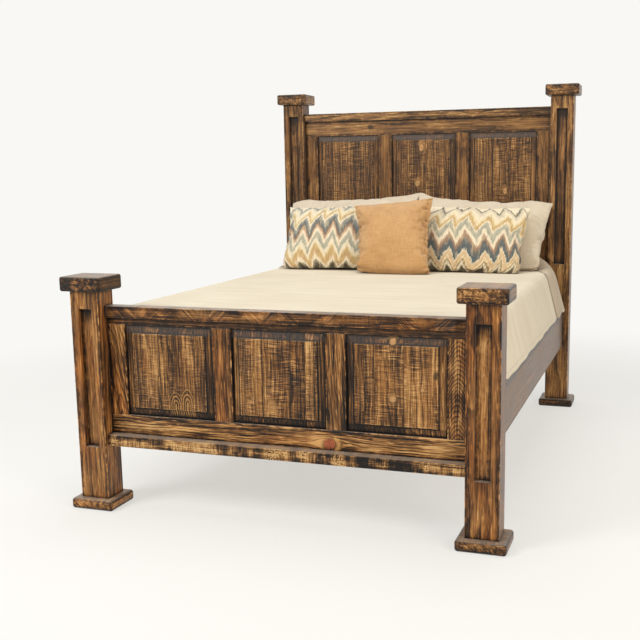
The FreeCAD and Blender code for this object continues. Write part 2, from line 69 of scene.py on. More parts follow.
class Value:
    """A node's output, used in sums and products like a plain number."""

    def __init__(self, graph, socket):
        self.graph, self.socket = graph, socket

    def math(self, operation, *others):
        return self.graph.math(operation, self, *others)

    def __add__(self, other):
        return self.math("ADD", other)

    def __mul__(self, other):
        return self.math("MULTIPLY", other)

    __radd__, __rmul__ = __add__, __mul__

    def __sub__(self, other):
        return self.math("SUBTRACT", other)

    def __rsub__(self, other):
        return self.graph.math("SUBTRACT", other, self)

    def __truediv__(self, other):
        return self.math("DIVIDE", other)

    def __pow__(self, power):
        return self.math("POWER", power)

    def __abs__(self):
        return self.math("ABSOLUTE")

    def least(self, other):
        return self.math("MINIMUM", other)

    def most(self, other):
        return self.math("MAXIMUM", other)

    def span(self, low, high, start=0.0, end=1.0):
        """Smooth step from start at low to end at high."""
        node = self.graph.add("MapRange", interpolation_type="SMOOTHSTEP")
        return self.graph.fill(node, (self, low, high, start, end))


class Graph:
    """Node tree with short calls. An input is a number, a tuple or a Value."""

    def __init__(self, tree):
        self.tree = tree

    def add(self, kind, **settings):
        node = self.tree.nodes.new("ShaderNode" + kind)
        for name, value in settings.items():
            setattr(node, name, value)
        return node

    def fill(self, node, values, output=0):
        """Sets a node's inputs, in their order or by name, and returns one of its outputs."""
        named = values if isinstance(values, dict) else dict(enumerate(values))
        for name, value in named.items():
            socket = node.inputs[name]
            if isinstance(value, Value):
                self.tree.links.new(value.socket, socket)
            else:
                socket.default_value = value
        return Value(self, node.outputs[output]) if node.outputs else None

    def math(self, operation, *values):
        return self.fill(self.add("Math", operation=operation), values)

    def vector(self, x, y, z):
        return self.fill(self.add("CombineXYZ"), (x, y, z))

    def parts(self, node, output):
        """X, Y and Z of one of a node's outputs."""
        split = self.add("SeparateXYZ")
        self.tree.links.new(node.outputs[output], split.inputs[0])
        return [Value(self, part) for part in split.outputs]

    def place(self):
        """X, Y and Z of the shaded point in the frame."""
        return self.parts(self.add("TexCoord"), "Object")

    def noise(self, x, y, z, detail=2.0, roughness=0.5):
        """Noise about 0, nearly all of it between -1 and 1."""
        settings = {"Vector": self.vector(x, y, z), "Scale": 1.0, "Detail": detail, "Roughness": roughness}
        return self.fill(self.add("TexNoise"), settings) * 4.0 - 2.0

    def random(self, value):
        """Random number from 0 to 1 for each value."""
        return self.fill(self.add("TexWhiteNoise", noise_dimensions="1D"), {"W": value})

    def mix(self, share, first, second, blend="MIX"):
        """Colour between two others, or a blend of them."""
        node = self.add("Mix", data_type="RGBA", blend_type=blend)
        return self.fill(node, {0: share, 6: first, 7: second}, 2)

    def shade(self, tint, red, green, blue):
        """Colour with each of its parts multiplied."""
        return self.mix(1.0, tint, self.vector(red, green, blue), "MULTIPLY")

    def ramp(self, value, stops, interpolation="LINEAR"):
        """Colour ramp through (place, sRGB colour) stops."""
        node = self.add("ValToRGB")
        node.color_ramp.interpolation = interpolation
        elements = node.color_ramp.elements
        while len(elements) < len(stops):
            elements.new(1.0)
        for element, (place, tint) in zip(elements, stops):
            element.position = place
            element.color = linear(*tint)
        return self.fill(node, (value,))

    def bump(self, height, distance, strength):
        return self.fill(self.add("Bump"), {"Strength": strength, "Distance": distance, "Height": height})

    def openness(self, distance):
        """1 in the open, less where something is nearer than a distance."""
        return self.fill(self.add("AmbientOcclusion", samples=8), {"Distance": distance}, "AO")


def new_material(name):
    """Material with only a Principled shader, its graph and that shader."""
    material = bpy.data.materials.new(name)
    material.use_nodes = True
    return material, Graph(material.node_tree), material.node_tree.nodes["Principled BSDF"]


# Stained pine

stain_stops = (
    (0.00, (14, 10, 7)),
    (0.20, (42, 28, 16)),
    (0.40, (84, 57, 31)),
    (0.60, (131, 92, 51)),
    (0.80, (172, 128, 75)),
    (1.00, (210, 169, 112)),
)
slat_stops = (
    (0.00, (150, 108, 66)),
    (0.35, (190, 148, 98)),
    (0.70, (214, 178, 128)),
    (1.00, (232, 204, 160)),
)
red_filter = (1.08, 0.82, 0.58, 1.0)
panel_glare = linear(122, 110, 104)
dull_brown = linear(88, 68, 48)
# Pale wax haze and painted glare on surfaces that face up
wax_bloom = linear(178, 162, 146)
# Raised panels, as the part has them
panel_tongue = 0.010
panel_bevel = 0.033


class Board:
    """How one board's wood looks: its grain and the marks of its making.

    along, across, depth: axes of the grain, of the shown face and into the board
    pith: place of the tree's middle from the board's middle, across and in depth
    ring, taper, lean, flame: growth ring width, how the rings and the grain slant along the board,
        and how far the rings waver
    tone, contrast, warmth, dull: lightness, strength of the streaks, share of red and share of brown grey
    bloom, hollow: share of pale waxy haze and painted glare on surfaces that face up, and how near a
    neighbour casts painted shade on it
    sheen: strength of the pale sheen of its finish
    rubbed, rubbed_share: height of the painted shadow along its top, and the share of it that is fully dark
    marks: what the saw left, one of plain, sawn, slanted, hatched, mottled or spotted
    knots: (across, along, half width, half length, kind) in the frame
    joints, tones: where a panel is glued, as shares of its field's width, and the tone of each of its boards
    glare: share of pale grey on a panel's upper bevel
    """

    def __init__(self, along=Z, across=X, depth=Y, **changes):
        self.along, self.across, self.depth = along, across, depth
        self.pith = (0.05, 0.09)
        self.ring, self.taper, self.lean, self.flame = 0.011, 0.012, 0.0, 0.007
        self.tone, self.contrast, self.warmth, self.dull = 0.0, 0.9, 0.4, 0.0
        self.bloom, self.hollow, self.rubbed, self.rubbed_share = 0.5, 0.018, 0.0, 0.8
        self.sheen, self.marks, self.knots = 0.30, "plain", ()
        self.joints, self.tones, self.glare = (), (0.0,), 0.16
        self.__dict__.update(changes)


class Knot:
    """Colours of a round knot, and how strongly it shows.

    push: how far the grain goes round it, as a share of its size
    spread: how uneven its outline is
    halo, shadow: strength of the pale wood past its ends and of the dark wood beside it
    """

    def __init__(self, inner, ringed, rim, push, spread, halo, shadow):
        self.inner, self.ringed, self.rim = linear(*inner), linear(*ringed), linear(*rim)
        self.push, self.spread, self.halo, self.shadow = push, spread, halo, shadow


round_knots = {
    "red": Knot((140, 66, 42), (190, 112, 74), (44, 25, 15), push=1.0, spread=0.22, halo=0.8, shadow=0.8),
    "pale": Knot((150, 102, 60), (222, 174, 116), (50, 32, 19), push=0.5, spread=0.40, halo=0.3, shadow=0.75),
}
stain_brown = linear(38, 25, 16)
patch_tan = linear(190, 140, 80)
arch_light, arch_dark = linear(206, 154, 86), linear(48, 30, 17)
halo_tan = linear(214, 162, 96)


def knot_distances(graph, across, along, knot):
    """Distances from a knot's middle across and along, in its own radii, and their length."""
    middle_across, middle_along, half_across, half_along, kind = knot
    share_across = (across - middle_across) / half_across
    share_along = (along - middle_along) / half_along
    above = share_along.most(0.0) if kind == "arch" else share_along
    rho = (above * above + share_across * share_across).math("SQRT")
    return share_across, share_along, graph.noise(across * 70, along * 70, 3.0) * 0.13 + rho


def knot_push(share_across, share_along, half_across):
    """How far a knot pushes the grain aside."""
    reach = share_along * 0.45
    return share_across * half_across / (share_across * share_across + reach * reach).most(1.0)


def knot_tint(graph, tint, distances, kind):
    """Paints one knot, arch or stain over the wood."""
    share_across, share_along, rho = distances
    if kind == "dark":
        return graph.mix(rho.span(1.5, 0.4, 0.0, 0.85), tint, stain_brown)
    if kind == "patch":
        return graph.mix(rho.span(1.3, 0.5, 0.0, 0.55), tint, patch_tan)
    if kind == "arch":
        rings = rho.math("FRACT")
        here = rho.span(3.9, 2.6) * share_along.span(-3.0, -2.0)
        tint = graph.mix(rings.span(0.45, 0.2) * here * 0.6, tint, arch_light)
        return graph.mix(rings.span(0.5, 0.85) * here * 0.8, tint, arch_dark)
    knot = round_knots[kind]
    rough = graph.noise(share_across * 3.5, share_along * 3.5, 7.0, detail=4.0, roughness=0.7)
    rings = (rho * 3.4).math("FRACT") if kind == "red" else 0.6
    core = graph.mix((rough * 0.5 + rings).span(0.1, 1.0), knot.inner, knot.ringed)
    turn = share_across.math("ARCTAN2", share_along)
    crack = graph.noise(turn * 2.6, rho * 0.5, 3.0, detail=1.0).span(0.45, 0.8)
    core = graph.mix(crack * rho.span(0.2, 0.6) * 0.6, core, knot.rim)
    outline = rough * knot.spread + rho
    halo = abs(share_along).span(0.5, 1.0) * rho.span(1.05, 1.25) * outline.span(2.1, 1.4)
    halo = halo * share_along.span(-0.9, 0.5, 0.25, 1.0) * (1 - crack * 0.7)
    tint = graph.mix(halo * knot.halo, tint, halo_tan)
    below = (share_across if kind == "red" else share_along).span(0.8, -0.8, 0.3, 0.9)
    tint = graph.mix(rho.span(1.6, 1.0) * below * knot.shadow, tint, knot.rim)
    return graph.mix(outline.span(1.2, 0.75, 0.0, 0.9), tint, core)


def edge_distances(place, box):
    """Distances from a place to the nearer face of a box, along X, Y and Z."""
    low, high = box
    return [(place[axis] - low[axis]).least(high[axis] - place[axis]) for axis in (X, Y, Z)]


def saw_marks(graph, marks, across, along, seed):
    """Lightness that the saw's teeth left, about 0."""
    patch = graph.noise(across * 14, along * 9, seed).span(-0.7, 0.7)
    if marks == "sawn":
        return graph.noise(across * 22, along * 420, seed, detail=1.0) * (patch * 0.30 + 0.12)
    if marks == "slanted":
        side = graph.noise(along * 7, seed, 0.0).span(-0.15, 0.15, -1.0, 1.0)
        slanted = across * 1.1 * side + along
        return graph.noise(slanted * 300, across * 12, seed, detail=1.0) * (patch * 0.26 + 0.18)
    if marks == "hatched":
        lines = graph.noise(along * 330, across * 20, seed, detail=1.0)
        blocks = graph.noise(along * 17, across * 9, seed)
        flecks = graph.noise(along * 160, across * 160, seed)
        bright = blocks.span(-0.1, 0.5) * flecks.span(-0.3, 0.6)
        return lines * 0.30 + bright * 0.66 + blocks.span(0.0, -0.5) * -0.40
    if marks == "spotted":
        spots = graph.noise(along * 55, across * 90, seed, detail=3.0, roughness=0.7)
        return spots * 0.12 + spots.span(-0.4, -0.9) * -0.2
    if marks == "mottled":
        spots = graph.noise(along * 70, across * 70, seed, detail=4.0, roughness=0.75)
        strokes = graph.noise((along + across) * 240, across * 30, seed, detail=1.0)
        patches = graph.noise(along * 16, across * 16, seed)
        return spots * 0.55 + strokes * 0.22 + patches * 0.32
    return 0.0


def glued_boards(board, box, across):
    """Number and tone of the glued board at a place across a panel, and the lines between the boards."""
    number, tone, lines = 0.0, board.tones[0], 0.0
    field_low = box[0][board.across] + panel_tongue + panel_bevel
    field_width = box[1][board.across] - panel_tongue - panel_bevel - field_low
    for index, share in enumerate(board.joints):
        past = across - (field_low + share * field_width)
        beyond = past.math("GREATER_THAN", 0.0)
        number = beyond + number
        tone = beyond * (board.tones[index + 1] - board.tones[index]) + tone
        lines = abs(past).span(0.0018, 0.0005).most(lines)
    return number, tone, lines


def growth_rings(graph, board, pushed, depth, along, middle, wood):
    """Dark late wood of the growth rings round a pith that runs along the board, 0 to 1."""
    warp = graph.noise(pushed * 14, depth * 14 + wood, along * 5.0)
    sideways = pushed - (middle[board.across] + board.pith[0])
    if board.joints:
        sideways = sideways + (graph.random(wood) * 0.12 - 0.06)
    inwards = depth - (middle[board.depth] + board.pith[1])
    radius = (sideways * sideways + inwards * inwards).math("SQRT")
    year = ((warp * board.flame + radius + along * board.taper) / board.ring).math("FRACT")
    return year ** 2.4 * year.span(1.0, 0.88)


def panel_wear_and_shade(place, near, box, ragged, facing):
    """Tone that stain, worn edges and painted shade give a raised panel, where its field is, and where its
    upper bevel is.
    """
    front = facing[Y].span(-0.1, -0.5)
    inset = near[X].least(near[Z]) - panel_tongue
    field = inset.span(panel_bevel - 0.001, panel_bevel + 0.001)
    # Painted shadow line where the field steps up
    step_shadow_line = abs(inset - (panel_bevel - 0.0030)).span(0.0045, 0.0015)
    rim = inset.span(panel_bevel + 0.004, panel_bevel + 0.0015) * field
    # Painted shade on the lower bevel, which faces down
    lower_bevel = (place[Z] - (box[0].z + panel_tongue)).span(panel_bevel, panel_bevel - 0.004)
    upper_bevel = (box[1].z - panel_tongue - place[Z]).span(panel_bevel, panel_bevel - 0.002)
    tone = (
        inset.span(0.016, 0.0) * -0.26
        + step_shadow_line * -0.36
        + rim * ragged.span(-0.5, 0.3) * 0.34
        + lower_bevel * -0.22
        + upper_bevel * -0.18
        + (1 - field) * -0.04
    )
    return front * tone, field, front * upper_bevel


def edge_wear_and_top_shade(board, place, near, box, ragged):
    """Tone that stain and worn edges give a plain board: dark near its edges, pale where they are worn bare,
    and a painted shadow along its top.
    """
    lesser, greater = near[X].least(near[Y]), near[X].most(near[Y])
    edge = lesser.most(greater.least(near[Z]))
    near_edge = (ragged * 0.007 + edge).span(0.018, 0.002)
    worn = edge.span(0.0045, 0.0015) * ragged.span(-0.25, 0.45)
    tone = near_edge * -0.22 + worn * 0.42
    # Painted shadow along the top: under the coverlet's hem on the side rails, at the top of the recess on
    # the insets
    if board.rubbed:
        from_top = ragged * 0.004 + (box[1].z - place[Z])
        tone = tone + from_top.span(board.rubbed, board.rubbed_share * board.rubbed) * -0.4
    return tone


def pine(name, board, box, stops=stain_stops):
    """Stained pine for one board in a box, with grain, knots, saw marks and worn edges."""
    material, graph, shader = new_material("pine_" + name)
    seed = float(sum(ord(letter) for letter in name) % 97)
    place = graph.place()
    facing = graph.parts(graph.add("NewGeometry"), "Normal")
    across, depth, along = place[board.across], place[board.depth], place[board.along]
    near = edge_distances(place, box)
    ragged = graph.noise(place[X] * 45, place[Y] * 45, place[Z] * 45, detail=3.0)
    number, board_tone, joint_line = glued_boards(board, box, across)
    wood = number * 13.7 + seed

    # Grain, pushed aside by the knots
    knots = [(knot_distances(graph, across, along, knot), knot[-1], knot[2]) for knot in board.knots]
    pushed = along * board.lean + across
    for (share_across, share_along, rho), kind, half_across in knots:
        if kind in round_knots:
            pushed = pushed - knot_push(share_across, share_along, half_across) * round_knots[kind].push

    def streaks(across_scale, depth_scale, along_scale, detail=2.0, roughness=0.5):
        deep = depth * depth_scale + wood
        return graph.noise(pushed * across_scale, deep, along * along_scale, detail, roughness)

    late = growth_rings(graph, board, pushed, depth, along, (box[0] + box[1]) / 2, wood)
    fine = streaks(250, 160, 8)
    fibre = streaks(1000, 800, 40, detail=1.0)
    blotch = streaks(9, 9, 6, detail=3.0)
    dark_line = streaks(190, 140, 3.5).span(0.35, 0.70)
    fleck = streaks(260, 220, 22).span(0.40, 0.85)
    grain = (
        streaks(26, 22, 1.3) * 0.13
        + streaks(95, 60, 2.6, detail=3.0, roughness=0.6) * 0.20
        + fine * 0.26
        + fibre * 0.10
        + blotch * 0.24
        + late * -0.40
        + dark_line * -0.38
        + fleck * 0.34
        + 0.11
    )

    # Saw marks, worn edges and painted shade, and the colour that all of it gives
    saw = saw_marks(graph, board.marks, across, along, wood)
    if board.joints:
        wear_and_shade, field, upper_bevel = panel_wear_and_shade(place, near, box, ragged, facing)
        saw = saw * (field * 0.8 + 0.2)
    else:
        wear_and_shade = edge_wear_and_top_shade(board, place, near, box, ragged)
    # Painted shade in corners and where a neighbour is near, partly standing for stain that gathers there
    corner = graph.openness(board.hollow).span(0.92, 0.40)
    tone = grain * board.contrast + saw + wear_and_shade + corner * -0.34 + joint_line * -0.30 + board_tone
    tint = graph.ramp(tone + (0.50 + board.tone), stops)
    warm = streaks(16, 16, 4).span(-0.6, 0.9, 0.3 * board.warmth, 1.3 * board.warmth)
    tint = graph.mix(warm, tint, graph.mix(1.0, tint, red_filter, "MULTIPLY"))
    if board.joints:
        tint = graph.mix(upper_bevel * board.glare, tint, panel_glare)
    if board.dull:
        tint = graph.mix(board.dull, tint, dull_brown)
    for distances, kind, half_across in knots:
        tint = knot_tint(graph, tint, distances, kind)
    # Pale waxy haze and painted glare on surfaces that face up
    upwards = facing[Z].span(0.5, 0.95, 0.0, board.bloom)
    tint = graph.mix(ragged * upwards * 0.2 + upwards, tint, wax_bloom)
    relief = late * -0.5 + fine * 0.4 + fibre * 0.25 + saw * 2.5 + joint_line * -2.0 + ragged * 0.25
    graph.fill(shader, {
        "Base Color": tint,
        "Roughness": fine * 0.05 + (blotch * 0.05 + 0.36),
        "Specular IOR Level": 0.26,
        "Sheen Weight": board.sheen,
        "Sheen Roughness": 0.30,
        "Sheen Tint": (1.0, 0.95, 0.90, 1.0),
        "Normal": graph.bump(relief, distance=0.0009, strength=0.7),
    })
    return material


# Side rails: a painted shadow along the top under the coverlet's hem, and painted shade near neighbours
side_rail_look = dict(contrast=0.5, dull=0.3, hollow=0.05, rubbed=0.064)
# Insets: painted shade at the top of their recess and near its walls
inset_look = dict(hollow=0.042, rubbed=0.075, rubbed_share=0.15)
board_looks = {
    "footboard_cap_rail": dict(marks="slanted", tone=-0.04, contrast=0.9, warmth=0.6, pith=(0.03, 0.2)),
    "footboard_top_rail": dict(tone=-0.04, contrast=0.7, pith=(0.05, 0.02)),
    "footboard_bottom_rail": dict(
        tone=0.11, contrast=1.5, flame=0.012, ring=0.012, taper=0.004, pith=(0.06, 0.015),
        knots=((0.325, 0.199, 0.0195, 0.0245, "red"), (0.355, 0.359, 0.006, 0.008, "dark")),
    ),
    "footboard_ledge": dict(marks="hatched", tone=0.13, contrast=1.0, warmth=0.0),
    "footboard_left_stile": dict(
        tone=-0.01, contrast=1.2, warmth=1.0,
        ring=0.014, taper=0.12, lean=0.12, flame=0.014, pith=(0.05, 0.008),
    ),
    "footboard_inner_stile_1": dict(tone=0.02, contrast=0.95, warmth=0.7),
    "footboard_inner_stile_2": dict(tone=-0.05, contrast=1.1, ring=0.007, taper=0.03, lean=0.03, flame=0.010),
    "footboard_right_stile": dict(
        tone=0.03, contrast=1.5, warmth=0.75, ring=0.0085, taper=0.50, flame=0.010, pith=(0.003, 0.006)
    ),
    "footboard_panel_1": dict(
        joints=(0.37, 0.50, 0.86), tones=(0.0, -0.13, -0.03, -0.09),
        knots=((-0.429, 0.430, 0.0085, 0.016, "arch"), (-0.379, 0.436, 0.0085, 0.018, "arch")),
    ),
    "footboard_panel_2": dict(
        joints=(0.30, 0.66, 0.85, 0.96), tones=(0.03, -0.03, -0.08, 0.12, -0.02),
        knots=((-0.027, 0.448, 0.020, 0.032, "patch"),),
    ),
    "footboard_panel_3": dict(
        joints=(0.12, 0.245, 0.60), tones=(-0.14, -0.08, -0.04, 0.06),
        knots=(
            (0.443, 0.510, 0.014, 0.012, "pale"), (0.552, 0.549, 0.007, 0.008, "pale"),
            (0.601, 0.603, 0.011, 0.016, "dark"), (0.443, 0.718, 0.013, 0.013, "pale"),
        ),
    ),
    "foot_left_cap": dict(
        tone=-0.11, warmth=0.9, sheen=0.10, knots=((0.900, -0.675, 0.060, 0.020, "dark"),)
    ),
    "foot_right_cap": dict(tone=0.0),
    "foot_left_inset": dict(tone=0.11, contrast=0.65, warmth=0.8),
    "foot_right_inset": dict(tone=0.27, contrast=0.65, marks="spotted"),
    "foot_left_post": dict(tone=0.08, contrast=0.75, warmth=0.8),
    "foot_right_post": dict(tone=-0.02, contrast=0.8, warmth=0.95),
    "head_right_base": dict(tone=-0.20),
    "head_right_post": dict(tone=0.13, contrast=0.9),
    "head_left_post": dict(tone=0.04),
    "right_side_rail": dict(tone=0.04, **side_rail_look),
    "left_side_rail": dict(tone=0.02, **side_rail_look),
    "headboard_cap_rail": dict(tone=0.07, contrast=1.2, warmth=0.0),
    "headboard_top_rail": dict(tone=0.09, warmth=0.05, knots=((1.569, -0.314, 0.014, 0.018, "dark"),)),
    "headboard_inner_stile_1": dict(tone=0.09, contrast=0.6),
    "headboard_inner_stile_2": dict(tone=0.05, contrast=0.7),
    "headboard_panel_1": dict(joints=(0.20, 0.49, 0.85), tones=(-0.03, 0.04, -0.05, 0.0)),
    "headboard_panel_2": dict(
        joints=(0.20, 0.55, 0.90), tones=(-0.02, 0.03, 0.05, -0.12),
        knots=(
            (-0.034, 1.247, 0.016, 0.018, "pale"), (-0.010, 1.448, 0.014, 0.022, "pale"),
            (0.156, 1.260, 0.012, 0.030, "dark"),
        ),
    ),
    "headboard_panel_3": dict(
        joints=(0.33, 0.62), tones=(0.0, 0.05, -0.02), knots=((0.47, 1.20, 0.012, 0.02, "pale"),)
    ),
}
# Looks that kinds of boards share, where a board has none of its own
headboard_look = dict(dull=0.16, glare=0.26, contrast=0.8, warmth=0.2)
post_look = dict(contrast=0.7, warmth=0.55)
panel_look = dict(contrast=0.85, warmth=0.28, marks="sawn")


def board_of(name):
    """The look of a wooden node, by its name."""
    chance = random.Random(name)
    looks = dict(
        pith=(chance.uniform(-0.06, 0.06), chance.uniform(0.03, 0.12)),
        taper=chance.uniform(0.006, 0.02),
        tone=chance.uniform(-0.03, 0.04),
    )
    if "panel" in name:
        looks.update(panel_look)
    if name.endswith(("post", "inset", "cap", "base", "side_rail")):
        looks.update(post_look)
    if name.startswith("head"):
        looks.update(headboard_look)
    if name.endswith("inset"):
        looks.update(inset_look)
    if name.endswith(("cap", "base")):
        looks.update(marks="mottled", bloom=0.42)
    looks.update(board_looks.get(name, {}))
    if name.endswith(("side_rail", "cleat")):
        return Board(Y, Z, X, **looks)
    if name.endswith(("_rail", "_ledge", "cap", "base")):
        return Board(X, Z, Y, **looks)
    if name.startswith("slat"):
        return Board(X, Y, Z, **looks)
    return Board(Z, X, Y, **looks)


def steel():
    """Zinc-plated steel of the rail fittings and screws."""
    material, graph, shader = new_material("fitting_steel")
    x, y, z = graph.place()
    drawn = graph.noise(x * 900, y * 900, z * 60)
    worn = graph.noise(x * 90, y * 90, z * 90, detail=4.0) * 0.25 + 0.5
    graph.fill(shader, {
        "Base Color": graph.ramp(worn, ((0.2, (120, 118, 112)), (0.8, (178, 178, 176)))),
        "Metallic": 0.9,
        "Roughness": drawn * 0.08 + 0.42,
        "Normal": graph.bump(drawn, distance=0.0002, strength=0.4),
    })
    return material


eased_edge = 0.0025
weld_distance = 0.00002
sharp_angle = math.radians(50)


def ease_edges(node):
    """Rounds a wooden node's edges a little, as sanding does."""
    weld = node.modifiers.new("weld", "WELD")
    weld.merge_threshold = weld_distance
    bevel = node.modifiers.new("eased edges", "BEVEL")
    bevel.width = eased_edge
    bevel.segments = 2
    bevel.limit_method = "ANGLE"
    bevel.angle_limit = sharp_angle
    bevel.use_clamp_overlap = False
    bevel.harden_normals = True


def dress_frame():
    """Gives every rigid node its material and its eased edges."""
    fitting = steel()
    for name, node in frame["nodes"].items():
        slot = slot_of[name]
        if slot == "hardware_steel":
            material = fitting
        elif slot in ("stained_pine", "slat_pine"):
            stops = stain_stops if slot == "stained_pine" else slat_stops
            material = pine(name, board_of(name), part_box(name), stops)
            if not name.endswith(("cap", "base")):
                ease_edges(node)
        else:
            continue
        node.data.materials.clear()
        node.data.materials.append(material)


# Cloth


def cloth_place(graph):
    """Place on the cloth before it was sewn or hung: along its width, its length, and a third value."""
    return graph.parts(graph.add("Attribute", attribute_name="cloth"), "Vector")


def weave(graph, u, v, thread, slub):
    """Lightness of crossing threads, about 0, with thicker threads here and there."""
    turns = 2 * math.pi / thread
    uneven = 0.35 / thread
    crossing = (u * turns).math("SINE") * (v * turns).math("SINE")
    thick_weft = graph.noise(u * 25, v * uneven, 1.0)
    thick_warp = graph.noise(u * uneven, v * 25, 5.0)
    return crossing * 0.35 + thick_weft * slub + thick_warp * slub


def finish_cloth(graph, shader, tint, threads, depth, sheen=0.25, hollow=0.03):
    """Matte woven finish in a colour, with painted shade in folds and where it meets a neighbour."""
    # Painted shade in folds and where a neighbour is near
    shade = graph.openness(hollow).span(0.9, 0.25, 1.0, 0.42)
    graph.fill(shader, {
        "Base Color": graph.shade(tint, shade, shade ** 1.12, shade ** 1.25),
        "Roughness": threads * 0.05 + 0.88,
        "Specular IOR Level": 0.2,
        "Sheen Weight": sheen,
        "Sheen Roughness": 0.5,
        "Normal": graph.bump(threads, depth, strength=0.8),
    })


def plain_cloth(name, dark, light, thread, slub, depth, hollow=0.03):
    """Woven cloth of one dye, a little uneven, with threads of a spacing, unevenness and depth."""
    material, graph, shader = new_material(name)
    u, v, third = cloth_place(graph)
    threads = weave(graph, u, v, thread, slub)
    cloud = graph.noise(u * 7, v * 7, third, detail=3.0)
    share = threads * 0.30 + cloud * 0.14 + 0.55
    tint = graph.mix(share.span(0.0, 1.0), linear(*dark), linear(*light))
    finish_cloth(graph, shader, tint, threads, depth, hollow=hollow)
    return material


rib_spacing = 0.0085
coverlet_thread = 0.0022
hem_fold = 0.022
hem_stitch = 0.006
cream_dark, cream_light = linear(214, 200, 173), linear(243, 234, 213)
fold_shade, crease_shade = linear(172, 148, 122), linear(104, 84, 64)
stitch_shade = linear(150, 134, 106)


def coverlet_cloth():
    """Cream coverlet with fine ribs across the bed, a shaded fold near its head and a stitched hem."""
    material, graph, shader = new_material("ribbed_coverlet")
    u, v, from_hem = cloth_place(graph)
    uneven = graph.noise(u * 3, v * 60, 1.0)
    ribs = (v * (2 * math.pi / rib_spacing) + uneven * 0.9).math("SINE")
    threads = weave(graph, u, v, coverlet_thread, slub=0.25)
    cloud = graph.noise(u * 2.5, v * 4, 2.0, detail=3.0)
    share = ribs * 0.17 + threads * 0.12 + uneven * 0.20 + cloud * 0.10 + 0.55
    tint = graph.mix(share.span(0.0, 1.0), cream_dark, cream_light)
    outwards = abs(u)
    setback = outwards.span(fold_start, fold_end, top_fold_setback, side_fold_setback)
    past_fold = uneven * 0.003 + (v + setback - (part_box("mattress")[1].y - head_setback))
    folded = outwards.span(fold_start - 0.04, fold_start)
    shade = folded * past_fold.span(-0.012, 0.012) * past_fold.span(0.45, 0.05, 0.6, 1.0)
    tint = graph.mix(shade * 0.55, tint, fold_shade)
    tint = graph.mix(folded * abs(past_fold).span(0.022, 0.004) * 0.6, tint, crease_shade)
    stitch = abs(from_hem - hem_fold).span(0.0022, 0.0006)
    dashes = ((u + v) * (2 * math.pi / hem_stitch)).math("SINE").span(-0.5, 0.2)
    tint = graph.mix(stitch * dashes * 0.35, tint, stitch_shade)
    relief = ribs * 0.55 + uneven * 0.7 + threads * 0.35 + stitch * -1.2
    # Painted shade in folds and around the pillows
    finish_cloth(graph, shader, tint, relief, depth=0.0012, sheen=0.05, hollow=0.07)
    return material


dyes = {
    "cream": (238, 224, 194),
    "butter": (224, 205, 162),
    "gold": (192, 158, 100),
    "tan": (204, 171, 126),
    "pink": (206, 172, 140),
    "taupe": (140, 116, 94),
    "sage": (154, 154, 137),
    "slate": (78, 95, 101),
    "mist": (120, 132, 130),
    "olive": (76, 70, 54),
    "charcoal": (72, 69, 60),
}
# Zigzag bands from the bottom seam up: dye and share of the height
left_bands = (
    ("olive", 0.07), ("cream", 0.06), ("tan", 0.05), ("gold", 0.06), ("butter", 0.03), ("cream", 0.06),
    ("sage", 0.08), ("cream", 0.05), ("pink", 0.04), ("taupe", 0.04), ("slate", 0.10), ("cream", 0.05),
    ("gold", 0.04), ("butter", 0.05), ("cream", 0.10), ("mist", 0.08), ("cream", 0.04),
)
right_bands = (
    ("olive", 0.04), ("cream", 0.05), ("olive", 0.015), ("gold", 0.03), ("cream", 0.02), ("tan", 0.07),
    ("cream", 0.02), ("slate", 0.10), ("taupe", 0.06), ("pink", 0.02), ("cream", 0.06), ("sage", 0.09),
    ("cream", 0.03), ("gold", 0.06), ("butter", 0.05), ("cream", 0.12), ("charcoal", 0.040), ("cream", 0.08),
)
zigzag_period = 0.080
zigzag_swing = 0.072
yarn_width = 0.0026


def zigzag_cloth(name, bands, height, seed):
    """Flame-stitch cloth: zigzag bands with feathered edges and uneven peaks."""
    material, graph, shader = new_material(name)
    u, v, side = cloth_place(graph)
    moved = graph.noise(u * 9, v * 3, seed, detail=1.0) * 0.018 + u
    wave = (moved / (zigzag_period / 2)).math("PINGPONG", 1.0)
    swing = graph.noise(u * 14, v * 7, seed + 3.0, detail=1.0) * 0.026 + zigzag_swing
    feather = graph.random((u / yarn_width).math("FLOOR")) * 0.010 - 0.005
    fray = graph.noise(u * 330, v * 22, seed)
    wander = graph.noise(u * 45, v * 45, seed + 5.0, detail=3.0)
    lift = (wave - 0.5) * swing + feather + fray * 0.005 + wander * 0.006
    share = (v + lift) * (1 / height) + 0.5
    total = sum(width for dye, width in bands)
    stops, start = [], 0.0
    for dye, width in bands:
        stops.append((start / total, dyes[dye]))
        start += width
    tint = graph.mix(0.35, graph.ramp(share, stops, "CONSTANT"), graph.ramp(share, stops))
    faded = graph.noise(u * 70, v * 24, seed + 8.0, detail=3.0)
    tint = graph.mix(faded.span(-0.1, 0.9, 0.0, 0.45), tint, linear(*dyes["butter"]))
    tint = graph.mix(faded.span(-0.2, -0.9, 0.0, 0.40), tint, linear(*dyes["taupe"]))
    threads = weave(graph, u, v, yarn_width, slub=0.30)
    speck = fray * 0.12 + (threads * 0.10 + 1.0)
    finish_cloth(graph, shader, graph.shade(tint, speck, speck, speck), threads, depth=0.0006)
    return material


ticking_thread = 0.002


def ticking_cloth(name, ground, stripe, spacing):
    """Woven cover with fine stripes up its sides."""
    material, graph, shader = new_material(name)
    u, v, inset = cloth_place(graph)
    threads = weave(graph, u, v, ticking_thread, slub=0.2)
    line = (u / (spacing / 2)).math("PINGPONG", 1.0).span(0.80, 0.90)
    cloud = graph.noise(u * 5, v * 5, 1.0, detail=3.0)
    tint = graph.mix(line * 0.6, linear(*ground), linear(*stripe))
    shade = (threads + cloud) * 0.04 + 0.97
    finish_cloth(graph, shader, graph.shade(tint, shade, shade, shade), threads, depth=0.0005)
    return material


# Meshes


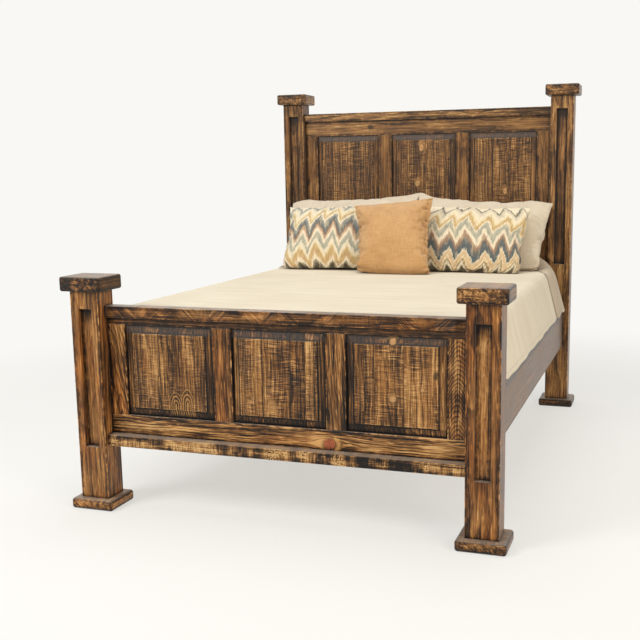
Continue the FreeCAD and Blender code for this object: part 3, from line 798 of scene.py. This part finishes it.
def mesh_object(name, points, faces, material, cloth):
    """Smooth mesh object, with the cloth places of its points."""
    mesh = bpy.data.meshes.new(name)
    mesh.from_pydata([tuple(point) for point in points], [], faces)
    mesh.polygons.foreach_set("use_smooth", [True] * len(mesh.polygons))
    attribute = mesh.attributes.new("cloth", "FLOAT_VECTOR", "POINT")
    attribute.data.foreach_set("vector", np.asarray(cloth, np.float32).ravel())
    mesh.materials.append(material)
    mesh.update()
    made = bpy.data.objects.new(name, mesh)
    scene.collection.objects.link(made)
    return made


def subdivide(piece):
    modifier = piece.modifiers.new("subdivision", "SUBSURF")
    modifier.levels = 1
    modifier.render_levels = 1


def smooth_step(value, low, high):
    share = np.clip((value - low) / (high - low), 0.0, 1.0)
    return share * share * (3 - 2 * share)


def strips_between(first, second):
    """Faces between two rows of points of the same length."""
    return list(zip(first, first[1:], second[1:], second))


# Coverlet

coverlet_thickness = 0.005
coverlet_clearance = 0.001
coverlet_slack = 0.002
shoulder_radius = 0.045
shoulder_steps = 7
side_drop = 0.230
foot_tuck = 0.190
drop_steps = 12
side_slope = math.radians(14.2)
side_wave = 0.004
corner_blend = 0.10
corner_steps = 6
head_setback = 0.010
# Points across the top, and rows along the plain stretch, the fold and the hump
top_columns = 61
plain_rows, fold_rows, hump_rows = 58, 28, 22
hump_margin = 0.03
# Head end, bunched up behind the pillows: distances from its edge, and sizes at the crest
bulge_length = 0.43
hump_length = 0.140
crest_setback = 0.060
hump_rise = 0.073
hump_bulge = 0.010
hump_shoulder_radius = 0.165
hump_end_share = 0.85
hump_crumple_share = 0.10
# Fold that runs out from the pillows and down the side: distances from the head edge, its start and end
# from the middle of the bed, and how far the cloth dips before it and stands up past it
top_fold_setback = 0.150
side_fold_setback = 0.350
fold_start = 0.62
fold_end = 0.78
fold_dip = 0.004
fold_dip_width = 0.016
fold_rise = 0.012
fold_length = 0.045
# How far the head edge slants towards the foot on its way down
head_slant = 0.060


def hump_at(y, head_y):
    """Sideways bulge, rise and shoulder radius of the coverlet at a place along the bed."""
    from_head = head_y - y
    rising = float(smooth_step(from_head, hump_length, crest_setback))
    falling = 1 - (1 - hump_end_share) * float(smooth_step(from_head, crest_setback, 0.0))
    radius = shoulder_radius + (hump_shoulder_radius - shoulder_radius) * rising
    stands = float(smooth_step(from_head, side_fold_setback, side_fold_setback - fold_length))
    dip = fold_dip * math.exp(-(((from_head - side_fold_setback) / fold_dip_width) ** 2))
    return hump_bulge * stands - dip, hump_rise * rising * falling, radius


def fold_at(x, y, head_y):
    """Rise of the coverlet's top past the fold."""
    share = float(smooth_step(abs(x), fold_start, fold_end))
    setback = top_fold_setback + (side_fold_setback - top_fold_setback) * share
    past = setback - (head_y - y)
    dip = fold_dip * math.exp(-((past / fold_dip_width) ** 2))
    return share * (fold_rise * float(smooth_step(past, 0.0, fold_length)) - dip)


def ripple(x, y):
    """Small unevenness of the coverlet's top."""
    broad = math.sin(3.1 * x + 1.7 * y + 0.6) + 0.7 * math.sin(5.3 * y - 2.2 * x + 2.0)
    return 0.0011 * broad + 0.0007 * math.sin(11.0 * x - 4.0 * y)


def fall(radius, slope, drop):
    """Side view of the cloth from its shoulder: (outwards, down, length so far) points to the hem."""
    points = []
    turn = math.pi / 2 - slope
    for step in range(1, shoulder_steps + 1):
        angle = turn * step / shoulder_steps
        points.append((radius * math.sin(angle), radius * (1 - math.cos(angle)), radius * angle))
    out, down, length = points[-1]
    for step in range(1, drop_steps + 1):
        extra = (drop - down) * step / drop_steps
        points.append((out + extra * math.tan(slope), down + extra, length + extra / math.cos(slope)))
    return points


def make_coverlet():
    """Coverlet laid over the mattress: a top, hanging sides, round foot corners and a tucked foot."""
    low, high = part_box("mattress")
    top_z = high.z + coverlet_thickness
    head_y = high.y - head_setback
    edge_x = high.x + coverlet_slack + coverlet_thickness
    foot_y = low.y - coverlet_thickness + shoulder_radius
    fold_y, hump_y = head_y - bulge_length, head_y - hump_length - hump_margin
    rows = np.concatenate([
        np.linspace(foot_y, fold_y, plain_rows),
        np.linspace(fold_y, hump_y, fold_rows)[1:],
        np.linspace(hump_y, head_y, hump_rows)[1:],
    ])
    points, cloth = [], []

    def add(x, y, z, u, v, from_hem):
        points.append((x, y, z))
        cloth.append((u, v, from_hem))
        return len(points) - 1

    top = []
    for y in rows:
        bulge, rise, radius = hump_at(y, head_y)
        line = []
        for share in np.linspace(-1, 1, top_columns):
            x = (edge_x + bulge - radius) * share
            crumple = rise * hump_crumple_share * (math.sin(9 * x + 0.5) + 0.6 * math.sin(23 * x + 14 * y))
            z = top_z + rise + ripple(x, y) * (1 - abs(share) ** 6) + crumple * (1 - share * share)
            line.append(add(x, y, z + fold_at(x, y, head_y), x, y, side_drop))
        top.append(line)

    def skirt(start, direction, drop, radius=shoulder_radius, slope=0.0, slant=0.0, wave=0.0):
        """Strip of points from one on the top's edge down to the hem, led by that point."""
        strip = [start]
        x, y, z = points[start]
        side = fall(radius, slope, drop)
        for out, down, length in side:
            u, v = x + direction[0] * length, y + direction[1] * length
            out += wave * (down / side_drop) ** 2
            back = slant * down / side_drop
            place = (x + direction[0] * out, y + direction[1] * out - back, (z if slope else top_z) - down)
            strip.append(add(*place, u, v, side[-1][2] - length))
        return strip

    border = []
    for side, column in ((-1, 0), (1, -1)):
        strips = []
        for y, line in zip(rows, top):
            bulge, rise, radius = hump_at(y, head_y)
            full = float(smooth_step(y, foot_y, foot_y + corner_blend))
            wave = full * side_wave * (1 + math.sin(19 * y + side) * math.sin(7 * y + 1.0))
            drop = foot_tuck + (side_drop - foot_tuck) * full + rise
            slant = head_slant * float(smooth_step(head_y - y, bulge_length, 0.0))
            strips.insert(0, skirt(line[column], (side, 0), drop, radius, side_slope * full, slant, wave))
        for step in range(1, corner_steps):
            angle = math.pi / 2 * step / corner_steps
            direction = (side * math.cos(angle), -math.sin(angle))
            strips.append(skirt(top[0][column], direction, foot_tuck))
        border.append(strips)
    foot = [skirt(start, (0, -1), foot_tuck) for start in top[0]]
    around = border[0] + foot + border[1][::-1]

    faces = []
    for first, second in zip(top, top[1:]):
        faces += strips_between(first, second)
    for first, second in zip(around, around[1:]):
        shared = first[0] == second[0]
        if shared:
            faces.append((first[0], first[1], second[1]))
        faces += strips_between(first, second)[shared:]
    piece = mesh_object("coverlet_sheet", points, faces, coverlet_cloth(), cloth)
    solid = piece.modifiers.new("thickness", "SOLIDIFY")
    solid.thickness = coverlet_thickness - coverlet_clearance
    solid.offset = -1.0
    subdivide(piece)
    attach(piece, "mattress")
    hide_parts("coverlet")


# Mattress and box spring

loop_step = 0.03
corner_points = 9
quilt_spacing = 0.075
quilt_low_share, quilt_high_share = 0.15, 0.85
# Rings of points from bottom to top: inset, and share of the height
mattress_rows = (
    (0.30, 0.004), (0.06, 0.000), (0.030, 0.012), (0.010, 0.03), (0.000, 0.05), (0.000, 0.075),
    (0.010, 0.095), (0.006, 0.14), (0.001, 0.24), (0.004, 0.33), (0.001, 0.42), (0.000, 0.50),
    (0.001, 0.58), (0.004, 0.67), (0.002, 0.74), (0.006, 0.80), (0.009, 0.825), (0.001, 0.840),
    (0.001, 0.862), (0.010, 0.880), (0.006, 0.905), (0.0125, 0.951), (0.018, 0.975), (0.027, 0.994),
    (0.05, 1.0), (0.30, 1.0),
)
box_spring_rows = (
    (0.30, 0.004), (0.03, 0.0), (0.006, 0.02), (0.000, 0.04), (0.000, 0.065), (0.005, 0.085),
    (0.003, 0.2), (0.004, 0.5), (0.003, 0.8), (0.005, 0.915), (0.000, 0.935), (0.000, 0.96),
    (0.006, 0.98), (0.03, 1.0), (0.30, 0.996),
)


def rounded_loop(half_x, half_y, radius):
    """Points round a rectangle with round corners."""
    loop = []
    for sign_x, sign_y, start in ((1, 1, 0.0), (-1, 1, 0.5), (-1, -1, 1.0), (1, -1, 1.5)):
        middle = (sign_x * (half_x - radius), sign_y * (half_y - radius))
        for turn in np.linspace(start, start + 0.5, corner_points):
            angle = math.pi * turn
            loop.append((middle[0] + radius * math.cos(angle), middle[1] + radius * math.sin(angle)))
    dense = []
    for (x0, y0), (x1, y1) in zip(loop, loop[1:] + loop[:1]):
        count = max(1, round(math.hypot(x1 - x0, y1 - y0) / loop_step))
        for number in range(count):
            share = number / count
            dense.append((x0 + (x1 - x0) * share, y0 + (y1 - y0) * share))
    return np.array(dense)


def make_block(name, node, material, rows, corner, quilt):
    """Block-shaped pad made of rings of points, with round corners and sides quilted to a depth."""
    low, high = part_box(node)
    middle, half = (low + high) / 2, (high - low) / 2
    outer = rounded_loop(half.x, half.y, corner)
    count = len(outer)
    lengths = np.concatenate([[0], np.cumsum(np.linalg.norm(np.diff(outer, axis=0), axis=1))])
    points, cloth, faces = [], [], []
    for inset, share in rows:
        ring = outer * np.array([(half.x - inset) / half.x, (half.y - inset) / half.y])
        z = low.z + (high.z - low.z) * share
        if quilt_low_share < share < quilt_high_share:
            puff = quilt * np.sin(lengths / quilt_spacing * math.pi) ** 2 * math.sin(math.pi * share) ** 0.5
            ring = ring + ring / np.linalg.norm(ring, axis=1)[:, None] * (puff[:, None] - quilt)
        for (x, y), length in zip(ring, lengths):
            points.append((middle.x + x, middle.y + y, z))
            cloth.append((length, z - low.z, inset))
    for start in range(0, count * (len(rows) - 1), count):
        first = [start + number for number in range(count)] + [start]
        faces += strips_between(first, [number + count for number in first])
    faces.append(tuple(reversed(range(count))))
    faces.append(tuple(range(len(points) - count, len(points))))
    piece = mesh_object(name, points, faces, material, cloth)
    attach(piece, node)
    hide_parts(node)


def make_pads():
    """Mattress and box spring."""
    striped = ticking_cloth("mattress_ticking", ground=(226, 223, 214), stripe=(176, 180, 184), spacing=0.03)
    make_block(
        "mattress_pad", "mattress", striped, mattress_rows, corner=0.060, quilt=0.003
    )
    plain = ticking_cloth("box_spring_cloth", ground=(214, 208, 196), stripe=(194, 186, 170), spacing=0.012)
    make_block(
        "box_spring_base", "box_spring", plain, box_spring_rows,
        corner=0.045, quilt=0.0,
    )


# Pillows and cushion

pillow_lean = math.radians(30.0)
pillow_sink = 0.007
flat_gap = 0.004
# Seams: share of the way to their outline, points that broad moves are evened over, reach of small moves
seam_hold = 0.85
seam_evening = 7
seam_reach = 0.020
seam_waver = 0.0016
ear_share = 0.26
# Tucks along the side seams, the bulges between them, and crumpled corners
gather_spacing = 0.040
gather_reach = 0.034
tuck_start = 0.012
tuck_pull_share = 0.35
bulge_setback = 0.022
bulge_reach = 0.016
crumple_reach = 0.036
crumple_depth = 0.008
crease_start_share, crease_end_share = 0.30, 0.42
corner_signs = ((-1, -1), (1, -1), (-1, 1), (1, 1))
on_seam = 1 - 1e-6


class Pillow:
    """One pillow: its finished width, height and thickness, its place and its cover.

    bow: how far the flat cover's top, bottom and sides curve outwards
    gather, tucks, bulges, creases: shrinking of the side seams, depth of the tucks along them, height of
        the bulges between the tucks, and depth of creases
    outline: how far its top, bottom and sides end outside the straight lines between its corners
    corners: moves of its low left, low right, top left and top right corners, across and up
    droop: how far its top left and right ears sag
    crumple: which corner is crumpled, as (-1 or 1, -1 or 1) across and up, or None
    roll, shift: turn in degrees and move to the right, from its node's place
    fill, cell: how full it is stuffed (not used), and the size of its cover's mesh cells
    """

    def __init__(self, node, slot, size, material, bow, gather, tucks, **changes):
        self.node, self.slot, self.size, self.material = node, slot, size, material
        self.bow, self.gather, self.tucks = bow, gather, tucks
        self.roll, self.shift, self.fill, self.creases, self.cell = 0.0, 0.0, 0.6, 0.0, 0.0095
        self.outline, self.droop, self.crumple = (0.0, 0.0, 0.0), (0.0, 0.0), None
        self.corners, self.bulges = ((0.0, 0.0),) * 4, 0.0
        self.__dict__.update(changes)

    def sew(self):
        """Flat two-sided cover: points, faces and cloth places, in X and Z with its front towards -Y."""
        width, height, thickness = self.size
        columns, rows = round(width / self.cell), round(height / self.cell)
        points, faces, cloth, index = [], [], [], {}
        for side in (1, -1):
            for row in range(rows + 1):
                for column in range(columns + 1):
                    border = row in (0, rows) or column in (0, columns)
                    key = (column, row, 0 if border else side)
                    if key in index:
                        continue
                    index[key] = len(points)
                    share_u, share_v = 2 * column / columns - 1, 2 * row / rows - 1
                    crown = (1 - share_u ** 2) * (1 - share_v ** 2)
                    out_u = width / 2 + self.bow[2] * (1 - share_v ** 2)
                    out_v = height / 2 + self.bow[0 if share_v > 0 else 1] * (1 - share_u ** 2)
                    points.append((share_u * out_u, -key[2] * flat_gap * crown, share_v * out_v))
                    cloth.append((share_u * width / 2, share_v * height / 2, key[2]))
            for row in range(rows):
                for column in range(columns):
                    ring = [(column, row), (column + 1, row), (column + 1, row + 1), (column, row + 1)]
                    face = [index[(c, r, 0)] if (c, r, 0) in index else index[(c, r, side)] for c, r in ring]
                    faces.append(tuple(face if side > 0 else reversed(face)))
        return np.array(points), faces, np.array(cloth)

    def outline_at(self, u, v):
        """Where points that are u and v of the way to the seams would lie on a sheet with this outline."""
        width, height, thickness = self.size
        top, bottom, sides = self.outline
        left_sag, right_sag = self.droop
        sag = left_sag * smooth_step(u, -1 + ear_share, -1.0) + right_sag * smooth_step(u, 1 - ear_share, 1.0)
        waver = np.sin(7 * u + 5 * v + width * 40) + np.sin(15 * u - 13 * v) + np.sin(29 * u + 31 * v)
        waver = seam_waver * waver
        upright = np.where(v > 0, top, bottom) + waver
        return np.stack([
            u * (width / 2 + (sides + waver) * (1 - v * v)),
            v * (height / 2 + upright * (1 - u * u)) - np.where(v > 0, sag * v, 0.0),
        ], axis=1)

    def draw_seams(self, shape, cloth):
        """Scales the shape to its finished size and moves its seams to their outline, the rest with them."""
        width, height, thickness = self.size
        shape = shape - (shape.max(0) + shape.min(0)) / 2
        shape = shape * (np.array([width, thickness, height]) / (shape.max(0) - shape.min(0)))
        u, v = 2 * cloth[:, 0] / width, 2 * cloth[:, 1] / height
        across, up = (u + 1) / 2, (v + 1) / 2
        shares = ((1 - across) * (1 - up), across * (1 - up), (1 - across) * up, across * up)
        wanted = self.outline_at(u, v)
        for share, corner in zip(shares, self.corners):
            wanted += share[:, None] * np.array(corner)
        move = wanted - shape[:, [0, 2]]

        def along(seam, share, toward, from_seam):
            """Moves that one seam asks of every point: its broad ones far in, its small ones near it."""
            order = np.flatnonzero(seam)[np.argsort(share[seam])]
            even = smooth_step(1 - np.abs(share[order]), 0.0, 0.2)
            near = np.exp(-((from_seam / seam_reach) ** 2))
            asked = []
            for own in move[order].T:
                wide = np.pad(own, seam_evening // 2, mode="edge")
                small = even * (own - np.convolve(wide, np.full(seam_evening, 1 / seam_evening), "valid"))
                broad = np.interp(share, share[order], own - small)
                asked.append(toward * broad + near * np.interp(share, share[order], small))
            return np.stack(asked, axis=1)

        drawn = along(v < -on_seam, u, 1 - up, up * height)
        drawn += along(v > on_seam, u, up, (1 - up) * height)
        drawn += along(u < -on_seam, v, 1 - across, across * width)
        drawn += along(u > on_seam, v, across, (1 - across) * width)
        for share, (sign_u, sign_v) in zip(shares, corner_signs):
            drawn -= share[:, None] * move[np.argmax(sign_u * u + sign_v * v)]
        shape[:, [0, 2]] += seam_hold * drawn
        return shape

    def wrinkle(self, shape, cloth):
        """Crumples a corner, presses tucks along the side seams and creases across the face."""
        width, height, thickness = self.size
        u, v, side = cloth.T
        shape = shape.copy()
        if self.crumple:
            from_corner = np.hypot(width / 2 - self.crumple[0] * u, height / 2 - self.crumple[1] * v)
            near = crumple_depth * np.exp(-(from_corner / crumple_reach) ** 2)
            shape[:, 0] += near * (np.sin(v * 240 + u * 60) - self.crumple[0])
            shape[:, 1] += near * (np.sin(u * 310 + v * 150) - 1.2)
            shape[:, 2] += near * (np.sin(u * 190 - v * 260) - self.crumple[1])
        for sign in (-1, 1):
            from_seam = width / 2 - sign * u
            phase = v / gather_spacing + 0.35 * np.sin(v * 31 + sign) + 0.2 * np.sin(v * 73 + 2 * sign)
            ridge = 0.5 - 0.5 * np.cos(2 * math.pi * phase)
            strength = 0.65 + 0.35 * np.sin(v * 47 + 3 * sign)
            bulge = ridge * np.exp(-(((from_seam - bulge_setback) / bulge_reach) ** 2))
            shape[:, 1] -= side * self.bulges * bulge * strength
            near = np.exp(-((from_seam / gather_reach) ** 2)) * (1 - (2 * v / height) ** 8)
            tuck = self.tucks * (1 - ridge) ** 5 * strength * near
            shape[:, 1] += side * tuck * np.minimum(from_seam / tuck_start, 1.0)
            shape[:, 0] -= sign * tuck_pull_share * tuck
        crease = np.sin(v * 190 + 9 * u + 1.5 * np.sin(v * 37 + 12 * u)) * np.sin(v * 21 - 15 * u + 1.0)
        outer = smooth_step(np.abs(u), crease_start_share * width, crease_end_share * width)
        shape[:, 1] -= side * self.creases * crease * outer
        return shape

    def place(self, shape):
        """Rolls, leans and stands the shape in its node's place."""
        low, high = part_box(self.node)
        x, y, z = shape.T
        cosine, sine = math.cos(math.radians(self.roll)), math.sin(math.radians(self.roll))
        x, z = x * cosine - z * sine, x * sine + z * cosine
        cosine, sine = math.cos(pillow_lean), math.sin(pillow_lean)
        y, z = y * cosine + z * sine, z * cosine - y * sine
        x = x - (x.max() + x.min()) / 2 + (low.x + high.x) / 2 + self.shift
        y = y - (y.max() + y.min()) / 2 + (low.y + high.y) / 2
        z = np.maximum(z - z.min() + low.z - pillow_sink, low.z)
        return np.stack([x, y, z], axis=1)

    def make(self, shape, faces, cloth):
        piece = mesh_object(self.node + "_cover", self.place(shape), faces, self.material, cloth)
        subdivide(piece)
        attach(piece, self.node)
        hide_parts(self.node)


inflate_frames = 30
covers_apart = 1.0
cover_settings = dict(
    quality=6,
    mass=0.02,
    tension_stiffness=20,
    compression_stiffness=20,
    shear_stiffness=8,
    bending_stiffness=0.3,
    air_damping=3,
    use_pressure=True,
    uniform_pressure_force=6.0,
    vertex_group_shrink="gather",
    shrink_min=0.0,
    shrink_max=0.12,
)


def inflate(covers, pillows):
    """Blows up flat covers with the cloth simulation and returns their shapes."""
    points, faces, starts, seams = [], [], [], []
    for number, ((flat, cover_faces, cloth), pillow) in enumerate(zip(covers, pillows)):
        start = sum(len(part) for part in points)
        starts.append(start)
        points.append(flat + np.array([0.0, covers_apart * number, 0.0]))
        faces += [tuple(start + corner for corner in face) for face in cover_faces]
        on_side = np.abs(cloth[:, 0]) > on_seam * pillow.size[0] / 2
        seams += [(start + int(corner), pillow.gather) for corner in np.flatnonzero(on_side)]
    mesh = bpy.data.meshes.new("covers")
    mesh.from_pydata([tuple(point) for point in np.concatenate(points)], [], faces)
    covers_object = bpy.data.objects.new("covers", mesh)
    scene.collection.objects.link(covers_object)
    group = covers_object.vertex_groups.new(name="gather")
    for corner, weight in seams:
        group.add([corner], weight, "REPLACE")
    cloth = covers_object.modifiers.new("cloth", "CLOTH")
    for name, value in cover_settings.items():
        setattr(cloth.settings, name, value)
    cloth.settings.effector_weights.gravity = 0.0
    cloth.collision_settings.use_collision = False
    cloth.point_cache.frame_end = inflate_frames
    for number in range(1, inflate_frames + 1):
        scene.frame_set(number)
    evaluated = covers_object.evaluated_get(bpy.context.evaluated_depsgraph_get())
    blown = np.array([vertex.co for vertex in evaluated.data.vertices])
    bpy.data.objects.remove(covers_object)
    bpy.data.meshes.remove(mesh)
    scene.frame_set(1)
    return np.split(blown, starts[1:])


sham_size = (0.740, 0.442, 0.140)
zigzag_size = (0.600, 0.396, 0.120)
cushion_size = (0.412, 0.424, 0.145)
sham_bow = (0.008, 0.030, 0.014)
zigzag_bow = (0.022, 0.040, 0.016)
cushion_bow = (0.022, 0.036, 0.024)


def make_pillows():
    """Shams, zigzag pillows and the plain cushion."""
    linen = plain_cloth(
        "sham_cloth", dark=(196, 180, 154), light=(228, 215, 192), thread=0.0022, slub=0.35, depth=0.0006
    )
    tan = plain_cloth(
        "tan_cloth", dark=(172, 128, 78), light=(218, 174, 121),
        # its painted shade reaches further, to where it meets the mattress
        thread=0.0026, slub=0.30, depth=0.0007, hollow=0.09,
    )
    left_cloth = zigzag_cloth("left_zigzag_cloth", left_bands, zigzag_size[1], seed=1.0)
    right_cloth = zigzag_cloth("right_zigzag_cloth", right_bands, zigzag_size[1], seed=7.0)
    pillows = (
        Pillow(
            "left_sham", "sham_linen", sham_size, linen, sham_bow,
            gather=0.1, tucks=0.004, creases=0.005, roll=1.6, shift=-0.012,
            outline=(-0.018, 0.0, -0.004), droop=(0.026, -0.012),
            corners=((0.02, 0.0), (0.0, 0.0), (-0.012, 0.0), (0.034, 0.014)),
        ),
        Pillow(
            "right_sham", "sham_linen", sham_size, linen, sham_bow,
            gather=0.1, tucks=0.003, creases=0.006, roll=-1.6, shift=0.002,
            outline=(-0.018, 0.0, -0.012), droop=(-0.026, 0.012), crumple=(1, -1),
            corners=((0.0, 0.0), (-0.045, 0.0), (-0.028, 0.004), (-0.002, -0.018)),
        ),
        Pillow(
            "left_zigzag_pillow", "zigzag_weave", zigzag_size, left_cloth, zigzag_bow,
            gather=0.1, tucks=0.008, roll=1.4,
            outline=(-0.012, -0.004, -0.010), crumple=(-1, -1),
            corners=((0.014, 0.0), (0.0, 0.0), (-0.006, 0.0), (0.0, 0.0)),
        ),
        Pillow(
            "right_zigzag_pillow", "zigzag_weave", zigzag_size, right_cloth, zigzag_bow,
            gather=0.1, tucks=0.008, roll=-2.2, shift=0.030,
            outline=(-0.012, -0.004, -0.010), crumple=(1, -1),
            corners=((0.0, 0.0), (-0.006, 0.0), (0.0, 0.0), (0.010, 0.0)),
        ),
        Pillow(
            "tan_cushion", "tan_weave", cushion_size, tan, cushion_bow,
            gather=0.3, tucks=0.022, bulges=0.014, fill=0.8, cell=0.0072,
            outline=(-0.014, 0.009, -0.018),
            corners=((0.048, -0.006), (0.034, -0.014), (-0.044, -0.030), (0.0, 0.028)),
        ),
    )
    covers = [pillow.sew() for pillow in pillows]
    shapes = inflate(covers, pillows)
    for pillow, shape, (flat, faces, cloth) in zip(pillows, shapes, covers):
        pillow.make(pillow.wrinkle(pillow.draw_seams(shape, cloth), cloth), faces, cloth)


# Studio

# Camera, fitted to the photograph: place, view directions, lens and shift
camera_place = Vector((1.36236, -4.229, 1.30234))
camera_forward = Vector((-0.31143, 0.93563, -0.16614))
camera_right = Vector((0.94940, 0.31384, -0.01220))
camera_lens = 53.0
camera_sensor = 36.0
camera_shift_x = -0.0598
camera_shift_y = 0.0202
background = linear(249, 248, 244)
ambient_tint = (1.0, 0.985, 0.96, 1.0)
ambient_strength = 0.45
# Floor: its size, where its shade starts and ends to fade, and how strong that is at the object
floor_size = 60.0
fade_start, fade_end = 2.0, 4.0
shade_share = 0.42
white_light, warm_light = (1.0, 1.0, 1.0), (1.0, 0.88, 0.74)


def make_camera():
    """Camera at the photograph's place."""
    data = bpy.data.cameras.new("camera")
    data.lens = camera_lens
    data.sensor_width = camera_sensor
    data.shift_x = camera_shift_x
    data.shift_y = camera_shift_y
    camera = bpy.data.objects.new("camera", data)
    up = camera_right.cross(camera_forward)
    axes = Matrix((camera_right, up, -camera_forward)).transposed()
    camera.matrix_world = Matrix.Translation(camera_place) @ axes.to_4x4()
    scene.collection.objects.link(camera)
    scene.camera = camera


def rays_seen(graph):
    """1 for rays of the camera, reflections and transmission, 0 for those that light the object."""
    path = graph.add("LightPath")
    camera, glossy, transmission = (
        Value(graph, path.outputs[name]) for name in ("Is Camera Ray", "Is Glossy Ray", "Is Transmission Ray")
    )
    return camera.most(glossy).most(transmission)


def mix_shaders(graph, share, first, second, output):
    mixed = graph.fill(graph.add("MixShader"), (share, first, second))
    graph.fill(graph.tree.nodes[output], {"Surface": mixed})


def make_world():
    """White surroundings to the eye and to reflections, and a dimmer even light on the rest."""
    world = bpy.data.worlds.new("studio")
    world.use_nodes = True
    graph = Graph(world.node_tree)
    plain = graph.fill(world.node_tree.nodes["Background"], {"Color": background, "Strength": 1.0})
    light = graph.fill(graph.add("Background"), {"Color": ambient_tint, "Strength": ambient_strength})
    mix_shaders(graph, rays_seen(graph), light, plain, "World Output")
    scene.world = world


def make_floor():
    """Pale floor that keeps a soft shadow and fades into the background."""
    half = floor_size / 2
    mesh = bpy.data.meshes.new("floor")
    corners = [(-half, -half, 0), (half, -half, 0), (half, half, 0), (-half, half, 0)]
    mesh.from_pydata(corners, [], [(0, 1, 2, 3)])
    floor = bpy.data.objects.new("floor", mesh)
    scene.collection.objects.link(floor)
    material, graph, shader = new_material("floor")
    material.node_tree.nodes.remove(shader)
    x, y, z = graph.place()
    radius = (x * x + y * y).math("SQRT")
    shaded = radius.span(fade_start, fade_end, shade_share, 0.0).most(1.0 - rays_seen(graph))
    diffuse = graph.fill(graph.add("BsdfDiffuse"), {"Color": background})
    glow = graph.fill(graph.add("Emission"), {"Color": background})
    mix_shaders(graph, shaded, glow, diffuse, "Material Output")
    mesh.materials.append(material)


def make_light(name, place, target, size, power, tint=white_light):
    """Square soft light aimed at a point."""
    data = bpy.data.lights.new(name, "AREA")
    data.size = size
    data.energy = power
    data.color = tint
    light = bpy.data.objects.new(name, data)
    aim = (Vector(target) - Vector(place)).to_track_quat("-Z", "Y")
    light.matrix_world = Matrix.Translation(Vector(place)) @ aim.to_matrix().to_4x4()
    scene.collection.objects.link(light)


def make_lights():
    """Key light from the left, a warm one from the right and a wide one overhead."""
    make_light("key", place=(-3.2, -4.6, 4.2), target=(0, -0.4, 0.7), size=2.2, power=175)
    make_light("fill", place=(4.5, -3.5, 2.6), target=(0, 0, 0.7), size=2.5, power=105, tint=warm_light)
    make_light("overhead", place=(0, 0.2, 4.6), target=(0, 0.2, 0.7), size=3.0, power=70)


dress_frame()
make_pads()
make_coverlet()
make_pillows()
make_camera()
make_world()
make_floor()
make_lights()
scene.view_settings.view_transform = "Standard"
